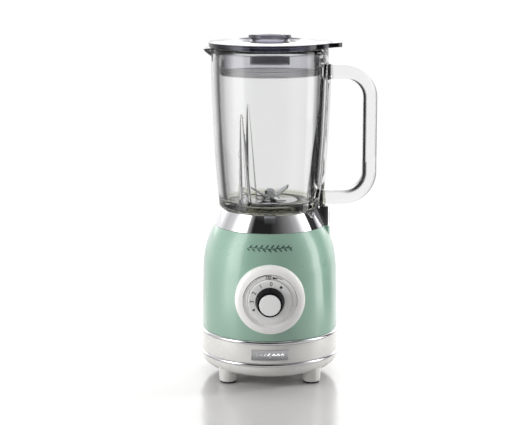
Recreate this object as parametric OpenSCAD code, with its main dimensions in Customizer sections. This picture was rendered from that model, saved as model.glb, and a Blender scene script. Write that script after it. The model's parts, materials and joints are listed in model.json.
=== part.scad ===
// Countertop blender: a painted power base with a rotary speed dial, and a lift-off glass jug with lid and filler cap.
// Millimetres. +Z is up, the front faces -Y and the jug's handle points along +X.
// The origin is on the drive axis, level with the worktop.

/* [Power base] */
// Radius of the painted shell at its lower edge
shell_foot_r = 80; // [79:0.5:81]
// Radius of the painted shell where the neck collar begins
shell_neck_r = 64.1; // [63.5:0.1:64.5]
// Wall thickness of the painted shell
shell_wall = 2.5; // [2:0.1:3]
// Outer radius of the two bright trim rings
trim_r = 82; // [81.5:0.1:82.5]
// Outer radius of the plain band between the trim rings
band_r = 80.6; // [80.2:0.1:81]
// Half the distance between the feet, left to right and front to back
foot_pitch = 48; // [47:0.5:49]
// Radius of a foot where it meets the worktop
foot_r = 10; // [9.5:0.1:10.5]

/* [Speed dial] */
// Height of the dial's centre
dial_z = 105.5; // [104:0.5:107]
// Outer radius of the fixed bezel
bezel_r = 39.5; // [38.5:0.5:40]
// Radius of the numbered disc that turns with the knob
disc_r = 24.6; // [24:0.1:24.8]
// Radius of the knob's front edge
knob_r = 13.9; // [13:0.1:14.5]

/* [Glass jug] */
// Outer radius of the jug near its rim
jug_rim_r = 67.4; // [67:0.1:68]
// Outer radius of the jug near its foot
jug_foot_r = 59; // [58.5:0.1:59.5]
// Wall thickness of the glass
glass_wall = 8.5; // [8:0.1:9]
// Reach of the handle's centre line from the drive axis
handle_reach = 115.1; // [112:0.5:118]
// Thickness of the handle, seen from the side
handle_thick = 16; // [15:0.5:17]
// Width of the handle, front to back
handle_width = 23; // [21:0.5:25]

/* [Lid] */
// Outer radius of the lid's rim
lid_r = 70; // [69.5:0.1:70.5]
// Reach of the lid's thumb tab from the drive axis
lid_tab_reach = 82.3; // [80:0.5:84]
// Radius of the filler cap's flared top
cap_r = 24.6; // [24:0.1:25]

/* [Hidden] */
$fn = 64;
fine = 0.1;                 // a cut runs this far past the face that it opens
slip = 0.3;                 // gap between bodies that move past each other
curve_steps = 18;           // straight steps in a curved outline

// Heights of the power base, from the worktop up
pad_h = 2;
pan_z0 = 12;
pan_wall = 2.5;
pan_boss_z = 19;            // top of the pan's bosses over the feet
lower_trim_z = 28.4;        // centre of the lower trim ring
upper_trim_z = 54.5;        // centre of the upper trim ring
trim_h = 4.4;
band_z0 = lower_trim_z + trim_h / 2;
band_z1 = upper_trim_z - trim_h / 2;
shell_z0 = upper_trim_z + trim_h / 2;
shell_z1 = 177.3;
shell_bend_z = 117;         // the wall is straight below this height and rounds in above it
shell_bend_r = 78;
shoulder_power = 2.55;
collar_z0 = 177.5;
collar_z1 = 196.9;
collar_top_r = 55.4;
collar_wall = 1.8;
tower_x = 69.7;             // outer face of the interlock tower under the handle
tower_w = 26;
tower_z1 = 199.7;
tower_z0 = 158;

// Jug seat inside the collar
seat_wall = 2;
seat_r = 52.4;
seat_deck_z = 166;
seat_deck_h = 3;
seat_z1 = 195.2;
seat_flange_r = 61;
seat_ledge_z = 163.8;       // top of the shell's ledge that carries the seat
seat_ledge_r = 56;
seat_lip_r = 50.9;
jug_clear_r = 59.2;         // the jug's foot swings clear inside this radius above the collar
tab_w = 12.8;

// Interlock
plunger_x = 62.8;
plunger_r = 2.2;
plunger_z0 = 159;
plunger_z1 = 201.2;
plunger_flange_z = 178;
plunger_flange_r = 4;
spring_r = 3.3;
spring_wire_r = 0.45;
spring_turns = 6;

// Motor, hung from the seat's deck
shaft_r = 4;
shaft_z0 = 46;
shaft_z1 = 177.4;
stator_r = 38;
stator_bore_r = 22.6;
stator_z0 = 96;
stator_z1 = 138;
armature_r = 22;
commutator_r = 11.5;
commutator_z0 = 74;
commutator_h = 13;
upper_bracket_z = 148;
lower_bracket_z = 62;
bracket_h = 4;
bearing_r = 9;
bearing_h = 7;
bush_h = 5;
post_pitch_r = 41;          // distance of the mounting posts from the axis
tie_pitch_r = 33.5;         // distance of the tie bolts from the axis
slot_count = 12;
fan_r = 28.5;
fan_z0 = 50;
fan_h = 10;

// Dial, measured along its own axis from the drive axis
bezel_face = 88.2;
disc_face = 89;
knob_face = 105.6;
knob_foot = 89.6;
knob_foot_r = 16.6;

// Jug and blades
jug_z0 = 197.2;             // underside of the glass
jug_z1 = 382;               // top of the rim
neck_z0 = 186;              // lower end of the threaded glass neck
neck_r = 43;
neck_bore_r = 36;
jug_floor_z = 206;
jug_taper_power = 1.8;
rib_z1 = 312;
rib_turn = -2;              // the first rib stands by the handle, turned by this angle
handle_top_z = 354.9;
handle_bottom_z = 209.5;
handle_bend_r = 30;
handle_round_r = 6;
spout_x = -62.6;
spout_r = 14;
ring_r = 49;
ring_z0 = 172;
carrier_flange_z = 182.3;
blade_z = 209;
blade_h = 1.6;
coupling_z0 = 170.5;
socket_z0 = 173.5;          // lower face of the socket under the jug
socket_z1 = 178.5;          // roof of the socket
blade_shaft_z1 = 216.6;
coupling_teeth = 6;

// Lid
lid_z0 = 382.6;
lid_z1 = 388.6;
plug_r = 56.3;
plug_z0 = 352.2;
filler_r = 20.8;
filler_z0 = 366;
cap_z1 = 400;

paint = [0.60, 0.77, 0.69];
cream = [0.88, 0.87, 0.83];
bright = [0.80, 0.80, 0.82];
steel = [0.62, 0.62, 0.64];
black = [0.10, 0.10, 0.11];
copper = [0.72, 0.42, 0.20];
glass = [0.82, 0.90, 0.86, 0.4];
smoke = [0.42, 0.44, 0.52, 0.6];
white = [0.92, 0.92, 0.91];
rubber = [0.16, 0.16, 0.17];

// ---- Outlines ----

// Outer radius of the painted shell at height z
function shell_radius(z) = z < shell_bend_z
    ? shell_foot_r - (shell_foot_r - shell_bend_r) * (z - shell_z0) / (shell_bend_z - shell_z0)
    : shell_bend_r - (shell_bend_r - shell_neck_r)
        * pow((z - shell_bend_z) / (collar_z0 - shell_bend_z), shoulder_power);

// Outer radius of the jug's wall at height z
function jug_radius(z) = jug_rim_r - (jug_rim_r - jug_foot_r) * pow((375 - min(z, 375)) / 170, jug_taper_power);

function steps(z0, z1, n = curve_steps) = [for (i = [0:n]) z0 + (z1 - z0) * i / n];

function arc(cx, cy, r, a0, a1, n = 6) =
    [for (i = [0:n]) let (a = a0 + (a1 - a0) * i / n) [cx + r * cos(a), cy + r * sin(a)]];

// Where a tangent from the point (x, y) touches a circle of radius r about the axis
function tangent_point(x, y, r) =
    let (a = atan2(y, x) + acos(r / norm([x, y]))) [r * cos(a), r * sin(a)];

// ---- Shared shapes ----

module ring(r_out, r_in, z0, z1) {
    translate([0, 0, z0]) difference() {
        cylinder(r = r_out, h = z1 - z0);
        translate([0, 0, -fine]) cylinder(r = r_in, h = z1 - z0 + 2 * fine);
    }
}

module rod(r, z0, z1) {
    translate([0, 0, z0]) cylinder(r = r, h = z1 - z0);
}

module rounded_slab(x, y, r) {
    square([x - 2 * r, y], center = true);
    square([x, y - 2 * r], center = true);
    for (sx = [-1, 1], sy = [-1, 1]) translate([sx * (x / 2 - r), sy * (y / 2 - r)]) circle(r = r);
}

// Children are drawn with their local +Z pointing out of the dial, towards the front
module on_dial() {
    translate([0, 0, dial_z]) rotate([90, 0, 0]) children();
}

module around(count, radius, start = 0) {
    for (i = [0:count - 1]) rotate(start + i * 360 / count) translate([radius, 0, 0]) children();
}

module at_feet() {
    for (sx = [-1, 1], sy = [-1, 1]) translate([sx * foot_pitch, sy * foot_pitch, 0]) children();
}

// A round tube of radius r along a path, as one closed polyhedron
module tube(path, r, sides = 8) {
    n = len(path);
    function along(i) = let (d = path[min(i + 1, n - 1)] - path[max(i - 1, 0)]) d / norm(d);
    function side(t) = let (c = abs(t[2]) > 0.9 ? cross(t, [0, 1, 0]) : cross(t, [0, 0, 1])) c / norm(c);
    points = [for (i = [0:n - 1]) let (t = along(i), u = side(t), v = cross(t, u))
        for (k = [0:sides - 1]) path[i] + r * (cos(360 * k / sides) * u + sin(360 * k / sides) * v)];
    skin = [for (i = [0:n - 2], k = [0:sides - 1]) let (a = i * sides, b = (k + 1) % sides)
        [a + k, a + b, a + sides + b, a + sides + k]];
    ends = [[for (k = [sides - 1:-1:0]) k], [for (k = [0:sides - 1]) (n - 1) * sides + k]];
    polyhedron(points = points, faces = [for (f = concat(skin, ends)) [for (k = [len(f) - 1:-1:0]) f[k]]]);
}

// ---- Power base: casing ----

module shell_solid(inset, z0, z1) {
    rotate_extrude() polygon(concat([[0, z0]], [for (z = steps(z0, z1)) [shell_radius(z) - inset, z]], [[0, z1]]));
}

module tower_block(z0, z1, inset) {
    depth = 30;
    translate([tower_x - inset - depth / 2, 0, z0]) linear_extrude(height = z1 - z0)
        rounded_slab(depth, tower_w - 2 * inset, 3.5 - inset / 2);
}

// Posts on the inside of the shell that carry the control board and the speed switch
module shell_posts() {
    intersection() {
        union() {
            for (x = [-20, 20], z = [74, 106]) translate([x, 55.6, z]) rotate([-90, 0, 0]) cylinder(r = 2.5, h = 24);
            on_dial() ring(15, 12, 68, 79);
        }
        shell_solid(shell_wall / 2, shell_z0, shell_z1);
    }
}

module shell() color(paint) {
    ledge_h = 2.3;
    difference() {
        union() {
            shell_solid(0, shell_z0, shell_z1);
            tower_block(tower_z0, shell_z1, 0);
        }
        difference() {
            shell_solid(shell_wall, shell_z0 - fine, shell_z1 + fine);
            ring(75, seat_ledge_r, seat_ledge_z - ledge_h, seat_ledge_z);
        }
        tower_block(seat_ledge_z, shell_z1 + fine, 2);
        translate([plunger_x, 0, 0]) rod(5.5, seat_deck_z - 5, seat_deck_z);
        on_dial() rod(12, 60, 85);
    }
    shell_posts();
}

module collar() color(bright) {
    lip_h = 1.5;
    bottom_r = shell_neck_r - collar_wall;
    top_r = collar_top_r - collar_wall;
    difference() {
        union() {
            translate([0, 0, collar_z0]) cylinder(r1 = shell_neck_r, r2 = collar_top_r, h = collar_z1 - collar_z0);
            intersection() {
                tower_block(collar_z0, tower_z1, 0);
                union() {
                    ring(80, 50, collar_z0, collar_z1);
                    ring(80, jug_clear_r, collar_z1 - fine, tower_z1);
                }
            }
        }
        translate([0, 0, collar_z0 - fine])
            cylinder(r1 = bottom_r, r2 = top_r, h = collar_z1 - lip_h - collar_z0 + fine);
        rod(seat_lip_r, collar_z0, tower_z1);
        intersection() {
            tower_block(collar_z0 - fine, tower_z1 - 2, 2);
            rod(80, collar_z0 - fine, collar_z1 - lip_h);
        }
        translate([plunger_x, 0, 0]) rod(plunger_r + slip, collar_z0, tower_z1 + fine);
        translate([-tab_w / 2 - slip, -65, 193.9]) cube([tab_w + 2 * slip, 20, 5]);
    }
}

module jug_seat() color(black) {
    difference() {
        union() {
            rod(seat_r, seat_deck_z, seat_z1);
            rod(seat_flange_r, seat_ledge_z, seat_deck_z + 0.4);
            translate([40, -5.5, seat_ledge_z]) cube([27.2, 11, seat_deck_z + 0.4 - seat_ledge_z]);
            around(4, post_pitch_r, 45) rod(4.5, upper_bracket_z + bracket_h + bush_h, seat_deck_z);
        }
        rod(seat_r - seat_wall, seat_deck_z + seat_deck_h, seat_z1 + fine);
        rod(16.5, seat_ledge_z - fine, seat_deck_z + seat_deck_h + fine);
        translate([plunger_x, 0, 0]) rod(plunger_r + slip, seat_ledge_z - fine, seat_deck_z + 1);
        around(4, post_pitch_r, 45) rod(1.7, upper_bracket_z, seat_deck_z - 1);
        translate([-tab_w / 2 - slip, -65, 193.9]) cube([tab_w + 2 * slip, 20, 5]);
    }
}

module trim_ring(z) color(bright) {
    rotate_extrude() {
        translate([trim_r - trim_h / 2, z]) circle(r = trim_h / 2);
        translate([trim_r - 6, z - trim_h / 2]) square([6 - trim_h / 2, trim_h]);
    }
}

module upper_trim_ring() trim_ring(upper_trim_z);
module lower_trim_ring() trim_ring(lower_trim_z);

module band() color(cream) {
    wall = 3;
    difference() {
        union() {
            ring(band_r, band_r - wall, band_z0, band_z1);
            intersection() {
                union() {
                    at_feet() rod(5, pan_boss_z, band_z1);
                    for (sx = [-1, 1], sy = [-1, 1]) rotate(sy * (90 - sx * 45))
                        translate([foot_pitch * sqrt(2), -1.5, band_z0 + 2]) cube([11, 3, 14]);
                }
                rod(band_r - 1, 0, band_z1);
            }
        }
        at_feet() rod(1.7, 0, band_z1 - 8);
        translate([0, 60, 41]) rotate([-90, 0, 0]) cylinder(r = 6.2, h = 30);
    }
}

// Outer face of the pan: flat underneath, then a quarter-round up to the lower trim ring
module pan_solid(inset, z1) {
    rotate_extrude() polygon(concat(
        [[0, pan_z0 + inset]],
        [for (p = arc(66, 26.2, 14.2, -90, 0, 10)) [p[0] - inset * cos((26.2 - p[1]) * 4), max(p[1], pan_z0 + inset)]],
        [[66 + 14.2 - inset, z1], [0, z1]]));
}

module base_pan() color(cream) {
    difference() {
        pan_solid(0, lower_trim_z - trim_h / 2);
        difference() {
            pan_solid(pan_wall, 40);
            at_feet() rod(7, pan_z0, pan_boss_z);
        }
        at_feet() rod(1.9, 0, 20);
        for (i = [-4:4]) translate([i * 6 - 1.2, -24 + abs(i) * 2, 0]) cube([2.4, 48 - abs(i) * 4, 20]);
    }
}

module foot(sx, sy) color(cream) {
    translate([sx * foot_pitch, sy * foot_pitch, 0]) difference() {
        translate([0, 0, pad_h]) cylinder(r1 = foot_r, r2 = foot_r + 1.5, h = 21);
        rod(3.5, 0, 11);
        rod(1.9, 0, 30);
        translate([-sx * foot_pitch, -sy * foot_pitch, 0]) pan_solid(0, 40);
    }
}

module foot_front_left() foot(-1, -1);
module foot_front_right() foot(1, -1);
module foot_back_left() foot(-1, 1);
module foot_back_right() foot(1, 1);

module foot_pads() color(rubber) {
    at_feet() {
        rod(foot_r - 0.7, 0, pad_h);
        rod(3.3, pad_h - fine, 8.5);
    }
}

module base_screws() color(steel) {
    at_feet() {
        difference() {
            rod(3.2, 9, 11);
            rod(1.1, 8, 10);
        }
        rod(1.6, 10.9, 34);
    }
}

module nameplate() color(steel) {
    intersection() {
        ring(band_r + 1.2, band_r, 34.4, 46.9);
        translate([-21.3, -90, 30]) cube([42.6, 20, 20]);
    }
}

module cord_gland() color(black) {
    translate([0, 0, 41]) rotate([-90, 0, 0]) difference() {
        union() {
            translate([0, 0, 70]) cylinder(r = 6, h = 13);
            translate([0, 0, 80.8]) cylinder(r1 = 9, r2 = 7.5, h = 4);
            translate([0, 0, 70]) cylinder(r = 8, h = 3);
        }
        translate([0, 0, 69]) cylinder(r = 3.6, h = 20);
    }
}

module cord_clamp() color(black) {
    cord_z = 41;
    difference() {
        union() {
            translate([-12, 53, pan_z0 + pan_wall]) cube([24, 10, cord_z - 0.3 - pan_z0 - pan_wall]);
            translate([-12, 53, cord_z + 0.3]) cube([24, 10, 5]);
        }
        translate([0, 50, cord_z]) rotate([-90, 0, 0]) cylinder(r = 3.4, h = 16);
        for (s = [-1, 1]) translate([s * 8.5, 58, 0]) rod(1.5, cord_z - 12, cord_z + 10);
    }
}

// ---- Power base: dial and electrics ----

module bezel() color(cream) {
    difference() {
        on_dial() rotate_extrude() polygon(concat(
            [[12.2, 72], [bezel_r, 60]],
            arc(bezel_r - 1.2, 79.4, 1.2, 0, 60, 3),
            arc(27.5, 69.5, 18.5, 52, 78, 6),
            [[30.2, 87.4], [29.8, bezel_face], [disc_r + 0.5, bezel_face], [disc_r + 0.5, 84.6], [12.2, 84.6]]));
        shell_solid(0, shell_z0 - 1, shell_z1);
    }
}

module speed_switch() color(black) {
    on_dial() difference() {
        union() {
            translate([-16, -16, 48]) cube([32, 32, 20]);
            rod(5.5, 67, 84);
            for (s = [-1, 1]) translate([s * 8 - 2, -21, 50]) cube([4, 6, 1]);
        }
        rod(3.05, 56, 90);
    }
}

module control_board() {
    color([0.10, 0.35, 0.20]) translate([-26, 54, 68]) cube([52, 1.6, 44]);
    color(black) {
        translate([-20, 44, 74]) cube([14, 10.01, 18]);
        translate([10, 54.01, 84]) rotate([90, 0, 0]) cylinder(r = 6, h = 12);
        translate([-4, 46, 96]) cube([10, 8.01, 12]);
    }
}

module interlock_switch() color(black) {
    difference() {
        translate([plunger_x - 4, -10, 148]) cube([8, 20, 10]);
        for (s = [-1, 1]) translate([0, s * 6.5, 152]) rotate([0, 90, 0]) cylinder(r = 1.2, h = 90);
    }
    translate([plunger_x - 2, -3, 157.9]) cube([4, 6, 0.9]);
    for (s = [-1, 1]) translate([plunger_x - 4, s * 8.5 - 1.5, 157.9]) cube([8, 3, 3.6]);
}

module interlock_plunger() color(white) {
    translate([plunger_x, 0, 0]) {
        rod(plunger_r, plunger_z0, plunger_z1);
        rod(plunger_flange_r, plunger_flange_z, plunger_flange_z + 2);
    }
}

module plunger_spring() color(steel) {
    z0 = seat_deck_z + 0.4 + spring_wire_r;
    z1 = plunger_flange_z - spring_wire_r;
    per_turn = 14;
    count = spring_turns * per_turn;
    tube([for (i = [0:count]) let (a = 360 * i / per_turn)
        [plunger_x + spring_r * cos(a), spring_r * sin(a), z0 + (z1 - z0) * i / count]], spring_wire_r, 6);
}

// ---- Power base: motor ----

module stator_core() color(steel) {
    difference() {
        rod(stator_r, stator_z0, stator_z1);
        rod(stator_bore_r, stator_z0 - fine, stator_z1 + fine);
        for (s = [-1, 1]) translate([-50, s * 46 - 10, stator_z0 - fine]) cube([100, 20, stator_z1 - stator_z0 + 1]);
        coil_bars(0.3, stator_z0 - fine, stator_z1 + fine);
        around(4, tie_pitch_r, 45) rod(2.2, stator_z0 - fine, stator_z1 + fine);
    }
}

// The four coil sides that run through the stator
module coil_bars(gap, z0, z1) {
    for (a = [28, 152, 208, 332]) rotate(a) translate([stator_bore_r + 5 - 3.2 - gap, -3.2 - gap, z0])
        cube([6.4 + 2 * gap, 6.4 + 2 * gap, z1 - z0]);
}

module field_coils() color(copper) {
    end_h = 5;
    coil_bars(0, stator_z0 - end_h, stator_z1 + end_h);
    for (z = [stator_z0 - end_h, stator_z1 + 0.2], a = [-28, 152])
        rotate(a) rotate_extrude(angle = 56) translate([stator_bore_r + 1.8, z]) square([6.4, end_h - 0.2]);
}

module bracket(z, r) {
    difference() {
        union() {
            for (a = [45, 135]) rotate(a) translate([0, 0, z]) linear_extrude(height = bracket_h)
                rounded_slab(2 * r, 14, 6.9);
            rod(13, z, z + bracket_h);
        }
        rod(bearing_r, z - 5, z + 10);
        around(4, tie_pitch_r, 45) rod(2.2, z - 1, z + 10);
    }
}

module upper_bracket() color(steel) {
    difference() {
        bracket(upper_bracket_z, post_pitch_r + 6);
        around(4, post_pitch_r, 45) rod(2, upper_bracket_z - 1, upper_bracket_z + 10);
    }
}

module lower_bracket() color(steel) {
    post_z0 = lower_bracket_z + bracket_h - fine;
    bracket(lower_bracket_z, tie_pitch_r + 6);
    difference() {
        around(4, tie_pitch_r, 45) rod(4.5, post_z0, stator_z0);
        around(4, tie_pitch_r, 45) rod(2.2, lower_bracket_z, stator_z0 + fine);
    }
    for (s = [-1, 1]) {
        translate([s * 22 - 11, -4.5, lower_bracket_z]) cube([22, 9, bracket_h]);
        translate([s * 28 - 4, -4.5, post_z0]) cube([8, 9, commutator_z0 + commutator_h / 2 - 5.5 - post_z0]);
    }
}

module tie_bolts() color(bright) {
    around(4, tie_pitch_r, 45) {
        rod(2, lower_bracket_z, upper_bracket_z + bracket_h);
        rod(3.6, lower_bracket_z - 3, lower_bracket_z);
        difference() {
            rod(3.8, stator_z1, upper_bracket_z);
            rod(1.9, stator_z1 - 1, upper_bracket_z + 1);
        }
    }
}

module bearing(z) color(bright) {
    difference() {
        ring(bearing_r, shaft_r + 0.05, z, z + bearing_h);
        for (top = [0, 1]) ring(7.4, 5.6, z + top * (bearing_h - 0.6) - 0.01, z + top * (bearing_h - 0.6) + 0.61);
    }
}

module upper_bearing() bearing(upper_bracket_z - 0.5);
module lower_bearing() bearing(lower_bracket_z - 1);

module brush_holders() color([0.70, 0.58, 0.28]) {
    for (s = [-1, 1]) translate([0, 0, commutator_z0 + commutator_h / 2]) difference() {
        translate([s > 0 ? 14 : -33, -4.5, -5.5]) cube([19, 9, 11]);
        translate([s > 0 ? 13 : -32, -3.1, -4.1]) cube([19, 6.2, 8.2]);
    }
}

module carbon_brushes() color(rubber) {
    for (s = [-1, 1]) translate([0, 0, commutator_z0 + commutator_h / 2])
        translate([s > 0 ? commutator_r + 0.1 : -24.1, -3, -4]) cube([24 - commutator_r, 6, 8]);
}

module motor_bushes() color(rubber) {
    z = upper_bracket_z + bracket_h;
    around(4, post_pitch_r, 45) ring(5.5, 2, z, z + bush_h);
}

module motor_screws() color(bright) {
    around(4, post_pitch_r, 45) {
        rod(3.2, upper_bracket_z - 2.4, upper_bracket_z);
        rod(1.65, upper_bracket_z - fine, seat_deck_z - 3);
    }
}

module air_guide() color(black) {
    floor_z = pan_z0 + pan_wall;
    difference() {
        ring(33, 31, floor_z, 58);
        for (a = [45:90:315]) rotate(a) translate([30, -9, 40]) cube([12, 18, 30]);
    }
    ring(40, 32.9, floor_z, floor_z + 2);
}

// Leads inside the base, each along its own hand-placed route and square to the piece that it ends on
lead_r = 1.1;
lead_routes = [
    [[2, 51, 41], [2, 47, 43], [3, 46, 50], [5, 48, 57], [6, 52, 61], [6, 54.8, 65], [6, 54.8, 67.98]],
    [[-2, 51, 41], [-2, 47, 43], [-3, 46, 50], [-5, 48, 57], [-6, 52, 61], [-6, 54.8, 65], [-6, 54.8, 67.98]],
    [[-24, 54.8, 112.02], [-24, 54.8, 115], [-34, 49, 118.5], [-44, 38, 119], [-52, 20, 119], [-55, 0, 118],
        [-52, -20, 114], [-42, -38, 110], [-29, -49, 107], [-20, -54, 105.5], [-16.02, -54, 105.5]],
    [[24, 54.8, 112.02], [24, 54.8, 115], [36, 47, 121], [48, 35, 128], [56, 21, 136], [61, 8, 142],
        [61.5, 5, 145], [61.5, 5, 147.98]]
];

module wiring() color([0.75, 0.10, 0.08]) {
    for (route = lead_routes) tube(route, lead_r);
}

// ---- Rotor ----

module motor_shaft() color(bright) {
    rod(shaft_r, shaft_z0, shaft_z1);
}

module armature_core() color(steel) {
    difference() {
        ring(armature_r, shaft_r, stator_z0 + 1, stator_z1 - 1);
        around(slot_count, armature_r - 5) rod(2.4, stator_z0, stator_z1);
        around(slot_count, armature_r - 1) translate([-2.6, -0.9, stator_z0]) cube([5, 1.8, 50]);
    }
}

module armature_winding() color(copper) {
    around(slot_count, armature_r - 5) rod(2.3, stator_z0 - 1, stator_z1 + 1);
    for (s = [0, 1]) translate([0, 0, s ? stator_z1 - 0.9 : stator_z0 + 0.9]) mirror([0, 0, 1 - s])
        rotate_extrude() difference() {
            union() {
                translate([6, 0]) square([9.5, 7]);
                translate([15.5, 3]) circle(r = 3.4);
                translate([15.5, 0]) square([3.2, 3]);
            }
            translate([0, -9]) square([40, 9]);
        }
}

module commutator() color(copper) {
    difference() {
        ring(commutator_r, shaft_r, commutator_z0, commutator_z0 + commutator_h);
        around(slot_count, commutator_r) translate([-1.2, -0.35, commutator_z0 - 1]) cube([3, 0.7, 11]);
    }
}

module cooling_fan() color(black) {
    difference() {
        union() {
            rod(7, fan_z0, fan_z0 + fan_h);
            rod(fan_r, fan_z0 + fan_h - 1.8, fan_z0 + fan_h);
            around(9, 5) rotate(24) translate([0, -0.9, fan_z0]) cube([26, 1.8, fan_h - 1]);
        }
        rod(shaft_r, fan_z0 - 1, fan_z0 + fan_h + 1);
    }
}

// Six-lobed star that fits the socket under the jug
module star(r, z0, z1) {
    translate([0, 0, z0]) linear_extrude(height = z1 - z0) {
        circle(r = r * 0.66);
        around(coupling_teeth, r * 0.62) circle(r = r * 0.38);
    }
}

module drive_coupling() color(rubber) {
    disc_h = 2.5;
    difference() {
        union() {
            star(11, coupling_z0 + disc_h - fine, socket_z1 - 0.7);
            rod(14, coupling_z0, coupling_z0 + disc_h);
            rod(8, seat_deck_z - 8, coupling_z0 + fine);
        }
        rod(shaft_r, seat_deck_z - 9, shaft_z1 + 1);
    }
}

// ---- Knob ----

module knob() color(black) {
    grip_count = 24;
    on_dial() difference() {
        union() {
            translate([0, 0, knob_foot]) cylinder(r1 = knob_foot_r, r2 = knob_r, h = knob_face - 1 - knob_foot);
            translate([0, 0, knob_face - 1]) cylinder(r1 = knob_r, r2 = knob_r - 1, h = 1);
        }
        rod(3.1, knob_foot - 1, 99);
        rod(12.1, knob_face - 1.6, knob_face + 1);
        around(grip_count, knob_foot_r + 0.9) translate([0, 0, knob_foot + 2]) rotate([0, -9, 0]) cylinder(r = 1.3, h = 12);
    }
}

module knob_cap() color(white) {
    on_dial() {
        rod(12, knob_face - 1.6, knob_face - 0.2);
        translate([0, 0, knob_face - 0.2]) cylinder(r1 = 12, r2 = 11.2, h = 0.5);
    }
}

module dial_disc() color(white) {
    on_dial() difference() {
        ring(disc_r, 3.1, 85.8, disc_face);
        ring(disc_r + 1, disc_r - 0.6, disc_face - 0.5, disc_face + 1);
    }
}

module switch_shaft() color(steel) {
    on_dial() rod(3, 57, 98.8);
}

// ---- Jug ----

// A straight length of handle along +Z, centred on the axis
module handle_bar(length) {
    linear_extrude(height = length) rounded_slab(handle_thick, handle_width, handle_round_r);
}

module handle_bend() {
    rotate([90, 0, 0]) rotate_extrude(angle = 90) translate([handle_bend_r, 0])
        rounded_slab(handle_thick, handle_width, handle_round_r);
}

module handle() {
    bend_x = handle_reach - handle_bend_r;
    low_z = handle_bottom_z + handle_bend_r;
    high_z = handle_top_z - handle_bend_r;
    translate([handle_reach, 0, low_z]) handle_bar(high_z - low_z);
    translate([bend_x, 0, high_z]) handle_bend();
    translate([bend_x, 0, low_z]) mirror([0, 0, 1]) handle_bend();
    translate([60, 0, handle_top_z]) rotate([0, 90, 0]) handle_bar(bend_x - 60);
    translate([54, 0, handle_bottom_z]) rotate([0, 90, 0]) handle_bar(bend_x - 54);
}

module jug_outline() {
    polygon(concat(
        [[0, neck_z0], [neck_r, neck_z0], [neck_r, jug_z0]],
        arc(jug_foot_r - 5.6, jug_z0 + 5.4, 5.4, -90, 0),
        [for (z = steps(jug_z0 + 8, 378)) [jug_radius(z), z]],
        arc(jug_rim_r - 2, jug_z1 - 2, 2, 0, 90, 4),
        [[0, jug_z1]]));
}

module jug_hollow() {
    polygon(concat(
        [[0, neck_z0 - fine], [neck_bore_r, neck_z0 - fine], [neck_bore_r, jug_floor_z]],
        arc(jug_radius(212) - glass_wall - 6, jug_floor_z + 6, 6, -90, 0),
        [for (z = steps(216, 376)) [jug_radius(z) - glass_wall, z]],
        [[jug_rim_r - glass_wall + 2, jug_z1 - 1.5], [jug_rim_r - glass_wall + 3.5, jug_z1 + fine], [0, jug_z1 + fine]]));
}

module jug_glass() color(glass) {
    rib_lean = atan2(8, rib_z1 - jug_floor_z);
    difference() {
        union() {
            difference() {
                union() {
                    rotate_extrude() jug_outline();
                    translate([spout_x, 0, 369]) cylinder(r1 = 3, r2 = spout_r, h = jug_z1 - 369);
                }
                rotate_extrude() jug_hollow();
                translate([spout_x + 1, 0, 370]) cylinder(r1 = 0.5, r2 = spout_r - 2.4, h = jug_z1 - 370 + fine);
            }
            around(3, 49.8, rib_turn) translate([0, 0, jug_floor_z - 1]) rotate([0, rib_lean, 0])
                cylinder(r1 = 7.4, r2 = 1, h = rib_z1 - jug_floor_z);
            handle();
        }
        rod(neck_bore_r, neck_z0, jug_floor_z + 2);
    }
}

module jug_base_ring() color([0.55, 0.56, 0.58]) {
    difference() {
        union() {
            ring(ring_r, neck_r + 0.4, ring_z0, jug_z0 - 0.3);
            ring(ring_r - 1, 31, carrier_flange_z - 2.5, carrier_flange_z);
            translate([-tab_w / 2, -57.8, 194.4]) cube([tab_w, 57.8 - ring_r + 2, 2.5]);
        }
        around(24, ring_r + 1) rod(1.6, ring_z0 - 1, jug_z0 - 6);
    }
}

module jug_seal() color(rubber) {
    ring(42.5, 33, carrier_flange_z + 2.4, neck_z0 - 0.05);
}

module blade_carrier() color(steel) {
    difference() {
        union() {
            rod(42.6, carrier_flange_z, carrier_flange_z + 2.4);
            rod(32.8, carrier_flange_z + 2.3, neck_z0 + 2);
            rod(neck_bore_r - 0.4, neck_z0 + 1, 203);
            translate([0, 0, 203]) cylinder(r1 = neck_bore_r - 0.4, r2 = 32, h = 3);
            translate([0, 0, 205.9]) cylinder(r1 = 11, r2 = 9.5, h = 1.7);
        }
        rod(7, carrier_flange_z - 1, 203.5);
        rod(4.6, 200, 210);
        ring(31, 12, carrier_flange_z - 1, 200);
    }
}

module blade_bush() color([0.70, 0.50, 0.25]) {
    ring(7, shaft_r + 0.05, carrier_flange_z + 0.4, 203.4);
}

module blade_shaft() color(bright) {
    rod(shaft_r, socket_z1 + fine, blade_shaft_z1);
}

module thrust_washer() color(bright) {
    ring(8, shaft_r, 207.8, blade_z);
}

// One bent arm of sheet steel: flat by the shaft, then tilted, with a sharpened sweep to its tip
module blade_arm(tilt, reach) {
    bend = 8;
    linear_extrude(height = blade_h) polygon([[-4, -6.5], [bend + 0.4, -6], [bend + 0.4, 6], [-4, 6.5]]);
    translate([bend, 0, 0]) rotate([0, -tilt, 0]) linear_extrude(height = blade_h) polygon(concat(
        [[0, -6], [reach * 0.45, -6.2]], arc(reach * 0.3, 6.6, 12.6 + reach * 0.08, -62, -24, 5), [[reach * 0.5, 4.4], [0, 6]]));
}

module blades(tilt, reach, z, turn) {
    difference() {
        for (s = [0, 180]) rotate(turn + s) translate([0, 0, z]) blade_arm(tilt, reach);
        rod(shaft_r, z - 5, z + 5);
    }
}

module lower_blades() color(bright) {
    blades(-4, 24, blade_z, -52);
}

module upper_blades() color(bright) {
    blades(34, 22, blade_z + blade_h, 22);
}

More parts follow.
